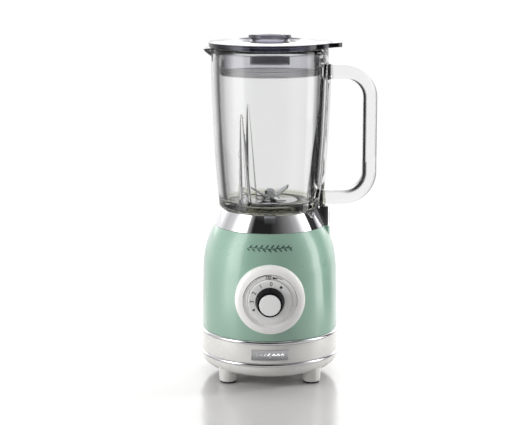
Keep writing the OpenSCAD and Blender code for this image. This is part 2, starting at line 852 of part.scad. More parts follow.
module blade_nut() color(bright) {
    z = blade_z + 2 * blade_h;
    difference() {
        union() {
            rod(7, z, z + 1);
            translate([0, 0, z + 0.9]) cylinder(r = 5.8, h = 4, $fn = 6);
            translate([0, 0, z + 4.8]) cylinder(r1 = 5, r2 = 2.6, h = 2.4);
        }
        rod(shaft_r, z - 1, blade_shaft_z1);
    }
}

module driven_coupling() color(black) {
    difference() {
        rod(15, socket_z0, carrier_flange_z - 0.5);
        star(11.5, socket_z0 - 1, socket_z1);
        rod(shaft_r, socket_z1 - fine, 190);
    }
}

// ---- Lid ----

module lid() color(smoke) {
    tab_tip = 7;
    t = tangent_point(lid_tab_reach, tab_tip, lid_r - 0.2);
    rotate_extrude() polygon(concat(
        [[filler_r, filler_z0], [filler_r + 2, filler_z0], [filler_r + 2, 384.4], [plug_r - 3.8, 385.6],
            [plug_r - 3.8, plug_z0 + 1], [plug_r - 1.3, plug_z0 + 1], [plug_r - 1.3, plug_z0 + 9],
            [plug_r, plug_z0 + 9], [plug_r, lid_z0]],
        arc(lid_r - 0.8, lid_z0 + 0.8, 0.8, -90, 0, 2),
        arc(lid_r - 2, lid_z1 - 2, 2, 0, 80, 4),
        [[43, 390.6], [41.5, 390.4], [38.5, 388.4], [filler_r + 3, 388], [filler_r + 2, 389.6], [filler_r, 389.6]]));
    translate([0, 0, lid_z0 + 0.6]) linear_extrude(height = 4.6)
        polygon([t, [lid_tab_reach, tab_tip], [lid_tab_reach, -tab_tip], [t[0], -t[1]]]);
}

module lid_seal() color(white) {
    r = plug_r - 1.2;
    z = plug_z0;
    lips = [for (i = [0:2]) z + 1.2 + i * 2.9];
    rotate_extrude() polygon(concat(
        [[r - 2.4, z], [r + 1.6, z]],
        [for (lip = lips) each [[r + 1.6, lip], [r + 3, lip + 0.5], [r + 3, lip + 1], [r + 1.6, lip + 1.5]]],
        [[r + 1.6, z + 8.9], [r, z + 8.9], [r, z + 0.9], [r - 2.4, z + 0.9]]));
}

module filler_cap() color(smoke) {
    neck = filler_r - 0.5;
    rotate_extrude() polygon(concat(
        [[neck, filler_z0 + 2], [neck, 390]],
        [[neck + 1, 391.2], [cap_r - 1, 393]],
        arc(cap_r - 1, 394, 1, -80, 80, 4),
        [for (p = steps(cap_r - 2, 0, 6)) [p, cap_z1 - 3 * pow(p / cap_r, 2)]],
        [[0, 394.8], [neck - 3, 394.2], [neck - 2, 393], [neck - 2, filler_z0 + 2]]));
}

shell();
collar();
jug_seat();
band();
upper_trim_ring();
lower_trim_ring();
base_pan();
foot_front_left();
foot_front_right();
foot_back_left();
foot_back_right();
foot_pads();
base_screws();
nameplate();
bezel();
speed_switch();
control_board();
interlock_switch();
cord_gland();
cord_clamp();
air_guide();
stator_core();
field_coils();
upper_bracket();
lower_bracket();
tie_bolts();
upper_bearing();
lower_bearing();
brush_holders();
carbon_brushes();
motor_bushes();
motor_screws();
wiring();
motor_shaft();
armature_core();
armature_winding();
commutator();
cooling_fan();
drive_coupling();
knob();
knob_cap();
dial_disc();
switch_shaft();
interlock_plunger();
plunger_spring();
jug_glass();
jug_base_ring();
jug_seal();
blade_carrier();
blade_bush();
blade_shaft();
thrust_washer();
lower_blades();
upper_blades();
blade_nut();
driven_coupling();
lid();
lid_seal();
filler_cap();
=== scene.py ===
"""Looks of a countertop blender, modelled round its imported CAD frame.

Sizes in the classes are millimetres, as in the CAD source, and meshes are metres. Heights are above the
floor. A piece that turns round the drive axis is drawn as (radius, height); a piece of the dial as (radius,
distance out).
"""

from __future__ import annotations

import json
import logging
import math
from collections.abc import Callable, Iterator, Sequence
from contextlib import contextmanager
from dataclasses import dataclass, field
from enum import Enum

import bpy
from mathutils import Matrix, Vector

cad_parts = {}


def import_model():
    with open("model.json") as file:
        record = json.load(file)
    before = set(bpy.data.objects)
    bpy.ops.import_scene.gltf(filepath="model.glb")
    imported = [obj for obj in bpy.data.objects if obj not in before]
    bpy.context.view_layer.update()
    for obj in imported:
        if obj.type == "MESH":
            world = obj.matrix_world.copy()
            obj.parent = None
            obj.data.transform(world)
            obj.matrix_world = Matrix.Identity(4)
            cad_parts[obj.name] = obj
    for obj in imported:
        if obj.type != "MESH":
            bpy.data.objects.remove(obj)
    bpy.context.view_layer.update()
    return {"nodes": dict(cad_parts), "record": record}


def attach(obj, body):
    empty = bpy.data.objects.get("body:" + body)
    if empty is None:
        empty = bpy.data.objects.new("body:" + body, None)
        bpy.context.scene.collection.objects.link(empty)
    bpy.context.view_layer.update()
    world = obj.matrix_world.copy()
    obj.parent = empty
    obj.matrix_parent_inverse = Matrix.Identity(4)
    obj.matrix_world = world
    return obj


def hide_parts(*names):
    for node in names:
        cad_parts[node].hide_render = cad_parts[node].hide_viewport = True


LOG = logging.getLogger("blender_looks")
MM = 0.001
DIAL_HEIGHT = 105.5
WELD = 2e-6  # vertices closer than this are one, in metres

Point = tuple[float, float]
Place = tuple[float, float, float]
Colour = tuple[float, float, float]
Piece = bpy.types.Object


# ---- Workbench: modelling by operators ----


class Axis(Enum):
    """The two axes that round pieces are turned about."""

    DRIVE = "drive"
    DIAL = "dial"

    def place(self, across: float, along: float) -> Vector:
        """Where an outline's point stands, in metres."""
        if self is Axis.DRIVE:
            return Vector((across, 0.0, along)) * MM
        return Vector((across, -along, DIAL_HEIGHT)) * MM

    @property
    def centre(self) -> Place:
        """A point on the axis, in metres."""
        return (0.0, 0.0, 0.0) if self is Axis.DRIVE else (0.0, 0.0, DIAL_HEIGHT * MM)

    @property
    def direction(self) -> Place:
        """The axis direction."""
        return (0.0, 0.0, 1.0) if self is Axis.DRIVE else (0.0, 1.0, 0.0)


def deselect_all() -> None:
    """Leave nothing selected, so that an operator acts on one piece."""
    if bpy.context.object is not None and bpy.context.object.mode != "OBJECT":
        bpy.ops.object.mode_set(mode="OBJECT")
    for other in list(bpy.context.selected_objects):
        other.select_set(False)


def pick(piece: Piece) -> None:
    """Make one piece the only selected and the active one."""
    deselect_all()
    piece.select_set(True)
    bpy.context.view_layer.objects.active = piece


@contextmanager
def editing(piece: Piece, select: str = "VERT") -> Iterator[None]:
    """Edit mode on one piece.

    Args:
        piece: The mesh to edit.
        select: What is selected: VERT, EDGE or FACE.
    """
    pick(piece)
    bpy.ops.object.mode_set(mode="EDIT")
    bpy.ops.mesh.select_mode(type=select)
    yield
    bpy.ops.object.mode_set(mode="OBJECT")


def mark(piece: Piece, test: Callable[[Vector], bool]) -> None:
    """Select the vertices of a piece whose place, in metres, passes a test."""
    mesh = piece.data
    mesh.polygons.foreach_set("select", [False] * len(mesh.polygons))
    mesh.edges.foreach_set("select", [False] * len(mesh.edges))
    mesh.vertices.foreach_set("select", [test(v.co) for v in mesh.vertices])


def weld_all(reach: float = WELD) -> None:
    """Select the whole of the piece being edited and merge its doubles, within a reach in metres."""
    bpy.ops.mesh.select_all(action="SELECT")
    bpy.ops.mesh.remove_doubles(threshold=reach)


def clean(piece: Piece, weld: float = WELD) -> Piece:
    """Merge a piece's doubles and turn its faces outwards.

    Args:
        piece: A closed mesh.
        weld: The distance within which vertices are merged, in metres.

    Returns:
        The same piece.
    """
    with editing(piece):
        weld_all(weld)
        bpy.ops.mesh.normals_make_consistent(inside=False)
    return piece


def smooth(piece: Piece, degrees: float = 34.0) -> Piece:
    """Shade a piece smooth except at edges sharper than an angle."""
    pick(piece)
    bpy.ops.object.shade_smooth_by_angle(angle=math.radians(degrees))
    return piece


def settle(piece: Piece) -> Piece:
    """Move a piece's place into its mesh, so that its object sits at the origin, unturned and unscaled."""
    pick(piece)
    bpy.ops.object.transform_apply(location=True, rotation=True, scale=True)
    return piece


def draw(name: str, places: Sequence[Vector]) -> Piece:
    """A chain of vertices, drawn by extruding one vertex from place to place.

    Args:
        name: Name of the new piece.
        places: The places, in metres.

    Returns:
        The new piece, which has edges but no faces yet.
    """
    deselect_all()
    bpy.ops.mesh.primitive_plane_add(size=MM)
    piece = bpy.context.object
    piece.name = name
    with editing(piece):
        bpy.ops.mesh.select_all(action="SELECT")
        bpy.ops.mesh.merge(type="CENTER")
        bpy.ops.transform.translate(value=places[0])
        for here, there in zip(places, places[1:]):
            bpy.ops.mesh.extrude_vertices_move(TRANSFORM_OT_translate={"value": there - here})
    return piece


def rounded(corners: Sequence[Sequence[float]], closed: bool = True, facets: int = 4) -> list[Point]:
    """An outline with its corners rounded.

    Args:
        corners: (across, along) or (across, along, radius) for each corner.
        closed: Whether the last corner joins the first.
        facets: Straight steps in each rounding.

    Returns:
        The outline's points; a closed outline ends on its first point.
    """
    points: list[Point] = []
    count = len(corners)
    for i, corner in enumerate(corners):
        here = Vector(corner[:2])
        end = not closed and i in (0, count - 1)
        if len(corner) < 3 or end:
            points.append((here.x, here.y))
            continue
        back = Vector(corners[i - 1][:2]) - here
        ahead = Vector(corners[(i + 1) % count][:2]) - here
        half = back.angle(ahead) / 2
        reach = min(corner[2] / math.tan(half), 0.5 * back.length, 0.5 * ahead.length)
        middle = here + (back.normalized() + ahead.normalized()).normalized() * reach / math.cos(half)
        start = here + back.normalized() * reach - middle
        stop = here + ahead.normalized() * reach - middle
        turn = math.atan2(start.x * stop.y - start.y * stop.x, start.dot(stop))
        for k in range(facets + 1):
            spoke = start.copy()
            spoke.rotate(Matrix.Rotation(turn * k / facets, 2))
            points.append((middle.x + spoke.x, middle.y + spoke.y))
    if closed:
        points.append(points[0])
    return points


def arc(
    across: float, along: float, radius: float, start: float, stop: float, steps: int = 12
) -> list[Point]:
    """Points on an arc, its angles in degrees from the first direction to the second."""
    angles = [math.radians(start + (stop - start) * i / steps) for i in range(steps + 1)]
    return [(across + radius * math.cos(a), along + radius * math.sin(a)) for a in angles]


def lathe(
    name: str, points: Sequence[Point], axis: Axis = Axis.DRIVE, steps: int = 128, flat: float = 34.0
) -> Piece:
    """A round piece: an outline spun about an axis.

    Args:
        name: Name of the new piece.
        points: The outline, closed, or open with both ends on the axis.
        axis: What it turns about.
        steps: Steps in the full turn.
        flat: Edges sharper than this many degrees stay crisp.

    Returns:
        The new piece.
    """
    piece = draw(name, [axis.place(*p) for p in points])
    with editing(piece):
        weld_all()
        bpy.ops.mesh.spin(
            steps=steps, angle=math.tau, center=axis.centre, axis=axis.direction, use_auto_merge=True
        )
    return smooth(clean(piece), flat)


def rod(
    name: str, radius: float, base: Place, top: Place, sides: int = 48, tip: float | None = None
) -> Piece:
    """A plain round bar between two places in millimetres, used as a tool to cut or add with.

    Args:
        name: Name of the new piece.
        radius: Radius at the base.
        base: Centre of one end.
        top: Centre of the other end.
        sides: Faces round it.
        tip: Radius at the top, if it is a cone.

    Returns:
        The new piece.
    """
    start, stop = Vector(base) * MM, Vector(top) * MM
    run = stop - start
    deselect_all()
    bpy.ops.mesh.primitive_cone_add(
        vertices=sides,
        radius1=radius * MM,
        radius2=(radius if tip is None else tip) * MM,
        depth=run.length,
        location=(start + stop) / 2,
        rotation=run.to_track_quat("Z", "Y").to_euler(),
    )
    piece = bpy.context.object
    piece.name = name
    return settle(piece)


def block(name: str, low: Place, high: Place, edge: float = 0.0, segments: int = 3) -> Piece:
    """A box between two corners in millimetres, its edges rounded.

    Args:
        name: Name of the new piece.
        low: Its lowest corner.
        high: Its highest corner.
        edge: Radius of every edge, or 0 to leave them sharp.
        segments: Steps in each rounding.

    Returns:
        The new piece.
    """
    deselect_all()
    bpy.ops.mesh.primitive_cube_add(size=1.0)
    piece = bpy.context.object
    piece.name = name
    with editing(piece):
        bpy.ops.mesh.select_all(action="SELECT")
        size = [(b - a) * MM for a, b in zip(low, high)]
        bpy.ops.transform.resize(value=size)
        bpy.ops.transform.translate(value=[(a + b) / 2 * MM for a, b in zip(low, high)])
        if edge > 0:
            bpy.ops.mesh.bevel(offset=edge * MM, segments=segments, affect="EDGES")
    return piece


def apply(piece: Piece, kind: str, **settings: object) -> Piece:
    """Put one modifier on a piece and apply it.

    Args:
        piece: The mesh.
        kind: The modifier's type.
        **settings: The modifier's own settings.

    Returns:
        The same piece.
    """
    pick(piece)
    modifier = piece.modifiers.new(kind.title(), kind)
    for key, value in settings.items():
        setattr(modifier, key, value)
    bpy.ops.object.modifier_apply(modifier=modifier.name)
    return piece


class Shape(Enum):
    """How a tool changes the piece that it is put to."""

    ADD = "UNION"
    CUT = "DIFFERENCE"


def combine(piece: Piece, how: Shape, *tools: Piece) -> Piece:
    """Add tools to a piece, or cut it with them; the tools are used up."""
    for tool in tools:
        apply(piece, "BOOLEAN", operation=how.value, object=tool, solver="EXACT")
        bpy.data.objects.remove(tool)
    with editing(piece):
        weld_all(10 * WELD)
    return piece


def ease(piece: Piece, width: float, segments: int = 2, degrees: float = 40.0) -> Piece:
    """Round a piece's edges that are sharper than an angle, then shade it smooth."""
    apply(
        piece,
        "BEVEL",
        width=width * MM,
        segments=segments,
        limit_method="ANGLE",
        angle_limit=math.radians(degrees),
        use_clamp_overlap=True,
    )
    return smooth(piece)


def gather(name: str, pieces: Sequence[Piece]) -> Piece:
    """Join several pieces into one."""
    pick(pieces[0])
    for piece in pieces:
        piece.select_set(True)
    bpy.ops.object.join()
    pieces[0].name = name
    return pieces[0]


def turned_copy(piece: Piece, degrees: float, axis: Axis = Axis.DRIVE) -> Piece:
    """A copy of a piece with its own mesh, turned about an axis by some degrees."""
    copy = piece.copy()
    copy.data = piece.data.copy()
    bpy.context.scene.collection.objects.link(copy)
    centre = Vector(axis.centre)
    spin = Matrix.Rotation(math.radians(degrees), 4, Vector(axis.direction))
    copy.matrix_world = Matrix.Translation(centre) @ spin @ Matrix.Translation(-centre)
    return settle(copy)


def softened(node: Piece, name: str, width: float, degrees: float = 38.0) -> Piece:
    """A copy of a CAD node's mesh, merged and with its edges rounded.

    Args:
        node: The CAD node, which stays as it is.
        name: Name of the new piece.
        width: Radius of its edges.
        degrees: Edges sharper than this are rounded.

    Returns:
        The new piece.
    """
    piece = bpy.data.objects.new(name, node.data.copy())
    bpy.context.scene.collection.objects.link(piece)
    piece.data.materials.clear()
    with editing(piece):
        bpy.ops.mesh.customdata_custom_splitnormals_clear()
        weld_all(5 * WELD)
        bpy.ops.mesh.dissolve_limited(angle_limit=math.radians(0.6))
    return ease(piece, width, degrees=degrees)


def ribbon(name: str, left: Sequence[Vector], right: Sequence[Vector], thickness: float) -> Piece:
    """A thin printed or raised line between two rails.

    Args:
        name: Name of the new piece.
        left: One rail, in metres.
        right: The other rail, with as many places.
        thickness: How far it stands out, along its faces' normals.

    Returns:
        The new piece.
    """
    piece = gather(name, [draw(name, left), draw(name + "_rail", right)])
    with editing(piece, "EDGE"):
        bpy.ops.mesh.select_all(action="SELECT")
        bpy.ops.mesh.bridge_edge_loops()
    apply(piece, "SOLIDIFY", thickness=thickness * MM, offset=0.0)
    return clean(piece, WELD / 10)


# ---- Finishes: node graphs ----


class Graph:
    """A node tree that is being wired."""

    def __init__(self, tree: bpy.types.NodeTree) -> None:
        """Start on a tree, emptied."""
        self.tree = tree
        tree.nodes.clear()

    def add(
        self, kind: str, inputs: dict[str | int, object] | None = None, **settings: object
    ) -> bpy.types.Node:
        """Add a node.

        Args:
            kind: The node's type, without its ShaderNode prefix.
            inputs: A value or a socket for each named or numbered input.
            **settings: The node's own settings.

        Returns:
            The new node.
        """
        node = self.tree.nodes.new(kind if kind.startswith("Node") else "ShaderNode" + kind)
        for key, value in settings.items():
            setattr(node, key, value)
        for key, value in (inputs or {}).items():
            if isinstance(value, bpy.types.NodeSocket):
                self.tree.links.new(value, node.inputs[key])
            else:
                node.inputs[key].default_value = value
        return node

    def math(self, operation: str, a: object, b: object = 0.0, clamp: bool = False) -> bpy.types.NodeSocket:
        """One sum on two values."""
        node = self.add("Math", {0: a, 1: b}, operation=operation)
        node.use_clamp = clamp
        return node.outputs[0]

    def remap(
        self, value: object, low: float, high: float, first: float, last: float
    ) -> bpy.types.NodeSocket:
        """A value moved from one range to another and held inside it."""
        inputs = {"Value": value, "From Min": low, "From Max": high, "To Min": first, "To Max": last}
        return self.add("MapRange", inputs).outputs[0]

    def blend(self, share: object, a: object, b: object, blend_type: str = "MIX") -> bpy.types.NodeSocket:
        """Two colours mixed by a share from 0 to 1."""
        node = self.add("Mix", data_type="RGBA", blend_type=blend_type)
        for index, value in ((0, share), (6, a), (7, b)):
            if isinstance(value, bpy.types.NodeSocket):
                self.tree.links.new(value, node.inputs[index])
            else:
                node.inputs[index].default_value = value if index == 0 else (*value[:3], 1.0)
        return node.outputs[2]

    def place(self, scale: Place = (1.0, 1.0, 1.0), turn: Place = (0.0, 0.0, 0.0)) -> bpy.types.NodeSocket:
        """The place on the piece, stretched and turned."""
        coordinate = self.add("TexCoord").outputs["Object"]
        return self.add("Mapping", {"Vector": coordinate, "Scale": scale, "Rotation": turn}).outputs[0]

    def radius(self) -> bpy.types.NodeSocket:
        """How far the place is from the drive axis, in metres."""
        x, y, _ = self.add("SeparateXYZ", {0: self.add("TexCoord").outputs["Object"]}).outputs
        square = self.math("ADD", self.math("MULTIPLY", x, x), self.math("MULTIPLY", y, y))
        return self.math("SQRT", square)

    def noise(
        self, vector: object, scale: object, detail: float = 3.0, rough: float = 0.55
    ) -> bpy.types.NodeSocket:
        """A soft noise between 0 and 1."""
        inputs = {"Vector": vector, "Scale": scale, "Detail": detail, "Roughness": rough}
        return self.add("TexNoise", inputs).outputs[0]


def open_group(
    name: str, inputs: dict[str, float | Colour], outputs: dict[str, str]
) -> tuple[Graph, dict, dict]:
    """Start a shared node group.

    Args:
        name: The group's name.
        inputs: Each input's name and default, a number or a colour.
        outputs: Each output's name and kind, Float or Color.

    Returns:
        Its graph, its input sockets by name and its output sockets by name.
    """
    tree = bpy.data.node_groups.new(name, "ShaderNodeTree")
    for key, value in inputs.items():
        kind = "Float" if isinstance(value, float) else "Color"
        socket = tree.interface.new_socket(name=key, in_out="INPUT", socket_type="NodeSocket" + kind)
        socket.default_value = value if isinstance(value, float) else (*value, 1.0)
    for key, kind in outputs.items():
        tree.interface.new_socket(name=key, in_out="OUTPUT", socket_type="NodeSocket" + kind)
    graph = Graph(tree)
    given = graph.add("NodeGroupInput").outputs
    result = graph.add("NodeGroupOutput").inputs
    return graph, {k: given[k] for k in inputs}, {k: result[k] for k in outputs}


class Effect(Enum):
    """The effects that several finishes share, each one node group."""

    GRAIN = "fine_grain"
    BRUSHING = "brushed_lines"
    HANDLING = "handling_marks"
    WEAR = "edge_wear"
    DUST = "settled_dust"

    def put(self, graph: Graph, **inputs: object) -> bpy.types.NodeSockets:
        """Place the effect in a material.

        Args:
            graph: The material's graph.
            **inputs: The group's inputs, a number, colour or socket each.

        Returns:
            The effect's outputs.
        """
        tree = bpy.data.node_groups.get(self.value) or MAKERS[self]()
        return graph.add("Group", inputs, node_tree=tree).outputs


def make_grain() -> bpy.types.NodeTree:
    """Moulded or sprayed texture: a fine bump with a slower swell under it, and a mask of its hollows."""
    graph, given, result = open_group(
        Effect.GRAIN.value, {"Size": 0.0008, "Swell": 0.3}, {"Height": "Float", "Hollows": "Float"}
    )
    where = graph.add("TexCoord").outputs["Object"]
    pitch = graph.math("DIVIDE", 1.0, given["Size"])
    fine = graph.noise(where, pitch, 2.0)
    slow = graph.noise(where, graph.math("MULTIPLY", pitch, 0.12), 2.0)
    height = graph.add("Mix", {0: given["Swell"], 2: fine, 3: slow}).outputs[0]
    graph.tree.links.new(height, result["Height"])
    graph.tree.links.new(graph.remap(fine, 0.35, 0.65, 1.0, 0.0), result["Hollows"])
    return graph.tree


def make_brushing() -> bpy.types.NodeTree:
    """Fine lines left by brushing or turning, running round the drive axis or across a flat face."""
    graph, given, result = open_group(
        Effect.BRUSHING.value, {"Along": 12.0, "Across": 3000.0, "Turned": 0.0}, {
            "Height": "Float", "Gloss": "Float"
        }
    )
    x, _, z = graph.add("SeparateXYZ", {0: graph.add("TexCoord").outputs["Object"]}).outputs
    turned = graph.math("MULTIPLY", given["Turned"], graph.radius())
    flat = graph.math("MULTIPLY", graph.math("SUBTRACT", 1.0, given["Turned"]), x)
    lines = graph.add(
        "CombineXYZ",
        {
            0: graph.math("MULTIPLY", flat, given["Along"]),
            1: graph.math("MULTIPLY", turned, given["Across"]),
            2: graph.math("MULTIPLY", z, given["Across"]),
        },
    ).outputs[0]
    streaks = graph.noise(lines, 1.0, 4.0, 0.7)
    graph.tree.links.new(streaks, result["Height"])
    graph.tree.links.new(graph.remap(streaks, 0.3, 0.7, -1.0, 1.0), result["Gloss"])
    return graph.tree


def make_handling() -> bpy.types.NodeTree:
    """Faint smudges and hairline scratches, which change the roughness."""
    graph, given, result = open_group(
        Effect.HANDLING.value, {"Roughness": 0.3, "Spread": 0.05, "Scratches": 0.05}, {"Roughness": "Float"}
    )
    where = graph.add("TexCoord").outputs["Object"]
    smudge = graph.remap(graph.noise(where, 28.0, 4.0, 0.6), 0.35, 0.7, -1.0, 1.0)
    bent = graph.add("Mapping", {"Vector": where, "Scale": (900.0, 900.0, 45.0), "Rotation": (0.5, 0.3, 0.2)})
    hair = graph.remap(graph.noise(bent.outputs[0], 1.0, 1.0), 0.68, 0.74, 0.0, 1.0)
    level = graph.math("ADD", given["Roughness"], graph.math("MULTIPLY", smudge, given["Spread"]))
    level = graph.math("ADD", level, graph.math("MULTIPLY", hair, given["Scratches"]), clamp=True)
    graph.tree.links.new(level, result["Roughness"])
    return graph.tree


def make_wear() -> bpy.types.NodeTree:
    """A change of colour where an edge is rubbed."""
    graph, given, result = open_group(
        Effect.WEAR.value,
        {"Colour": (0.5, 0.5, 0.5), "Rubbed": (0.8, 0.8, 0.8), "Amount": 0.3},
        {"Colour": "Color"},
    )
    point = graph.add("NewGeometry").outputs["Pointiness"]
    speckle = graph.noise(graph.add("TexCoord").outputs["Object"], 420.0, 3.0)
    edges = graph.remap(graph.math("ADD", point, graph.math("MULTIPLY", speckle, 0.03)), 0.535, 0.6, 0.0, 1.0)
    share = graph.math("MULTIPLY", edges, given["Amount"], clamp=True)
    graph.tree.links.new(graph.blend(share, given["Colour"], given["Rubbed"]), result["Colour"])
    return graph.tree


def make_dust() -> bpy.types.NodeTree:
    """A trace of dust on faces that look up."""
    graph, given, result = open_group(
        Effect.DUST.value,
        {"Colour": (0.5, 0.5, 0.5), "Dust": (0.55, 0.53, 0.5), "Amount": 0.04},
        {"Colour": "Color"},
    )
    up = graph.add("SeparateXYZ", {0: graph.add("NewGeometry").outputs["Normal"]}).outputs[2]
    patches = graph.noise(graph.add("TexCoord").outputs["Object"], 60.0, 5.0, 0.7)
    cover = graph.math(
        "MULTIPLY", graph.remap(up, 0.4, 1.0, 0.0, 1.0), graph.remap(patches, 0.4, 0.7, 0.2, 1.0)
    )
    cover = graph.math("MULTIPLY", cover, given["Amount"], clamp=True)
    graph.tree.links.new(graph.blend(cover, given["Colour"], given["Dust"]), result["Colour"])
    return graph.tree


MAKERS: dict[Effect, Callable[[], bpy.types.NodeTree]] = {
    Effect.GRAIN: make_grain,
    Effect.BRUSHING: make_brushing,
    Effect.HANDLING: make_handling,
    Effect.WEAR: make_wear,
    Effect.DUST: make_dust,
}


# ---- Finishes ----


@dataclass(frozen=True)
class Finish:
    """What a piece is made of and how its surface looks; each kind of finish fills in its own shader."""

    name: str
    colour: Colour
    roughness: float = 0.35

    def material(self) -> bpy.types.Material:
        """The finish as a material, made once; a material that already has its name is used as it stands."""
        made = bpy.data.materials.get(self.name)
        if made is None:
            made = bpy.data.materials.new(self.name)
            made.use_nodes = True
            graph = Graph(made.node_tree)
            shader = graph.add("BsdfPrincipled", {"Roughness": self.roughness})
            self.fill(graph, shader)
            graph.add("OutputMaterial", {"Surface": shader.outputs[0]})
            made.diffuse_color = (*self.colour, 1.0)
        return made

    def fill(self, graph: Graph, shader: bpy.types.Node) -> None:
        """Wire the shader's inputs."""
        graph.tree.links.new(self.worked(graph, self.colour, 0.0, 0.0), shader.inputs["Base Color"])

    def worked(self, graph: Graph, colour: object, wear: float, dust: float) -> bpy.types.NodeSocket:
        """A colour with a slow change of tone, rubbed edges and dust.

        Args:
            graph: The material's graph.
            colour: The clean colour.
            wear: How much of the rubbed colour its edges show.
            dust: How much dust its upper faces hold.

        Returns:
            The finished colour.
        """
        tone = graph.remap(graph.noise(graph.place(), 14.0, 3.0), 0.3, 0.7, 0.0, 1.0)
        darker = tuple(c * 0.965 for c in self.colour)
        base = graph.blend(tone, darker, colour)
        rubbed = tuple(min(1.0, c * 0.8 + 0.16) for c in self.colour)
        edged = Effect.WEAR.put(graph, Colour=base, Rubbed=(*rubbed, 1.0), Amount=wear)
        return Effect.DUST.put(graph, Colour=edged["Colour"], Amount=dust)["Colour"]

    def bump(
        self, graph: Graph, shader: bpy.types.Node, height: object, depth: float, strength: float = 1.0
    ) -> None:
        """Feed a height, whose full depth is in millimetres, to the shader's normal."""
        inputs = {"Height": height, "Distance": depth * MM, "Strength": strength}
        graph.tree.links.new(graph.add("Bump", inputs).outputs[0], shader.inputs["Normal"])


@dataclass(frozen=True)
class Moulded(Finish):
    """Moulded plastic, rubber or sprayed enamel."""

    grain: float = 0.8
    depth: float = 0.01
    swell: float = 0.3
    coat: float = 0.0
    coat_roughness: float = 0.06
    specular: float = 0.5
    wear: float = 0.15
    dust: float = 0.03
    smudges: float = 0.03

    def fill(self, graph: Graph, shader: bpy.types.Node) -> None:
        """Coloured body with grain, painted shade in the grain's hollows, smudges, rubbed edges and a clear
        coat where it has one.
        """
        grain = Effect.GRAIN.put(graph, Size=self.grain * MM, Swell=self.swell)
        # Painted shade: the hollows of the grain are a little darker.
        hollow = tuple(c * 0.9 for c in self.colour)
        shade = graph.blend(graph.math("MULTIPLY", grain["Hollows"], 0.25), self.colour, hollow)
        graph.tree.links.new(self.worked(graph, shade, self.wear, self.dust), shader.inputs["Base Color"])
        marks = Effect.HANDLING.put(
            graph, Roughness=self.roughness, Spread=self.smudges, Scratches=self.smudges
        )
        graph.tree.links.new(marks["Roughness"], shader.inputs["Roughness"])
        shader.inputs["Coat Weight"].default_value = self.coat
        shader.inputs["Coat Roughness"].default_value = self.coat_roughness
        shader.inputs["Specular IOR Level"].default_value = self.specular
        self.bump(graph, shader, grain["Height"], self.depth)


class Lines(Enum):
    """Which way a metal's lines run."""

    ROUND = 1.0
    FLAT = 0.0


@dataclass(frozen=True)
class Metal(Finish):
    """Polished, turned or brushed metal."""

    lines: Lines = Lines.ROUND
    depth: float = 0.002
    pitch: float = 0.3
    brushing: float = 0.03
    wear: float = 0.0
    dust: float = 0.02

    def fill(self, graph: Graph, shader: bpy.types.Node) -> None:
        """Metal with fine lines and smudges."""
        brushed = Effect.BRUSHING.put(graph, Across=1.0 / (self.pitch * MM), Turned=self.lines.value)
        graph.tree.links.new(
            self.worked(graph, self.colour, self.wear, self.dust), shader.inputs["Base Color"]
        )
        rough = graph.math("MULTIPLY", brushed["Gloss"], self.brushing)
        level = graph.math("ADD", rough, self.roughness)
        marks = Effect.HANDLING.put(
            graph, Roughness=level, Spread=0.4 * self.brushing, Scratches=self.brushing
        )
        graph.tree.links.new(marks["Roughness"], shader.inputs["Roughness"])
        shader.inputs["Metallic"].default_value = 1.0
        self.bump(graph, shader, brushed["Height"], self.depth)


@dataclass(frozen=True)
class Clear(Finish):
    """Glass or clear plastic, with slow waves from pressing."""

    ior: float = 1.5
    transmission: float = 1.0
    waves: float = 0.02
    wave_size: float = 30.0
    smudges: float = 0.01
    # Painted shade: a dark edge where the surface is seen at a grazing angle, standing in for the dark
    # outline that refraction gives.
    edge: float = 0.0
    edge_shade_start: float = 0.7
    # Painted shade: a dark band on the part that lies outside a radius, for the dark rim of a smoked lid or
    # cap.
    rim: float = 0.0
    rim_shade_colour: Colour = (0.0, 0.0, 0.0)
    foot: float = 0.0
    foot_colour: Colour = (0.0, 0.0, 0.0)
    rim_shade_fade: float = 1.6
    foot_fade: float = 5.0
    foot_radii: tuple[float, float] = (64.0, 66.0)
    edge_shade_colour: Colour = (0.01, 0.012, 0.011)

    def fill(self, graph: Graph, shader: bpy.types.Node) -> None:
        """A clear body with a faint tint, waves, a trace of handling, a darker colour towards the foot, a
        painted dark rim and painted dark edges where it is seen edge-on.
        """
        tint = graph.remap(graph.noise(graph.place(), 20.0, 2.0), 0.3, 0.7, 0.0, 1.0)
        paler = tuple(c * 0.985 for c in self.colour)
        body = graph.blend(tint, paler, self.colour)
        if self.rim > 0:
            # Painted shade: a dark rim outside the given radius.
            outside = graph.remap(graph.radius(), (self.rim - self.rim_shade_fade) * MM, self.rim * MM, 0.0, 1.0)
            body = graph.blend(outside, body, self.rim_shade_colour)
        if self.foot > 0:
            height = graph.add("SeparateXYZ", {0: graph.place()}).outputs[2]
            low = graph.remap(height, (self.foot - self.foot_fade) * MM, self.foot * MM, 1.0, 0.0)
            within = graph.remap(graph.radius(), self.foot_radii[0] * MM, self.foot_radii[1] * MM, 1.0, 0.0)
            body = graph.blend(graph.math("MULTIPLY", low, within), body, self.foot_colour)
        # Painted shade: darker towards the edges that are seen edge-on.
        edge = graph.remap(
            graph.add("LayerWeight", {0: 0.5}).outputs["Facing"], self.edge_shade_start, 1.0, 0.0, self.edge
        )
        graph.tree.links.new(graph.blend(edge, body, self.edge_shade_colour), shader.inputs["Base Color"])
        marks = Effect.HANDLING.put(
            graph, Roughness=self.roughness, Spread=self.smudges, Scratches=self.smudges
        )
        graph.tree.links.new(marks["Roughness"], shader.inputs["Roughness"])
        shader.inputs["IOR"].default_value = self.ior
        shader.inputs["Transmission Weight"].default_value = self.transmission
        swell = graph.noise(graph.place(scale=(1.0, 1.0, 0.4)), 1.0 / (self.wave_size * MM), 2.0)
        self.bump(graph, shader, swell, self.waves)


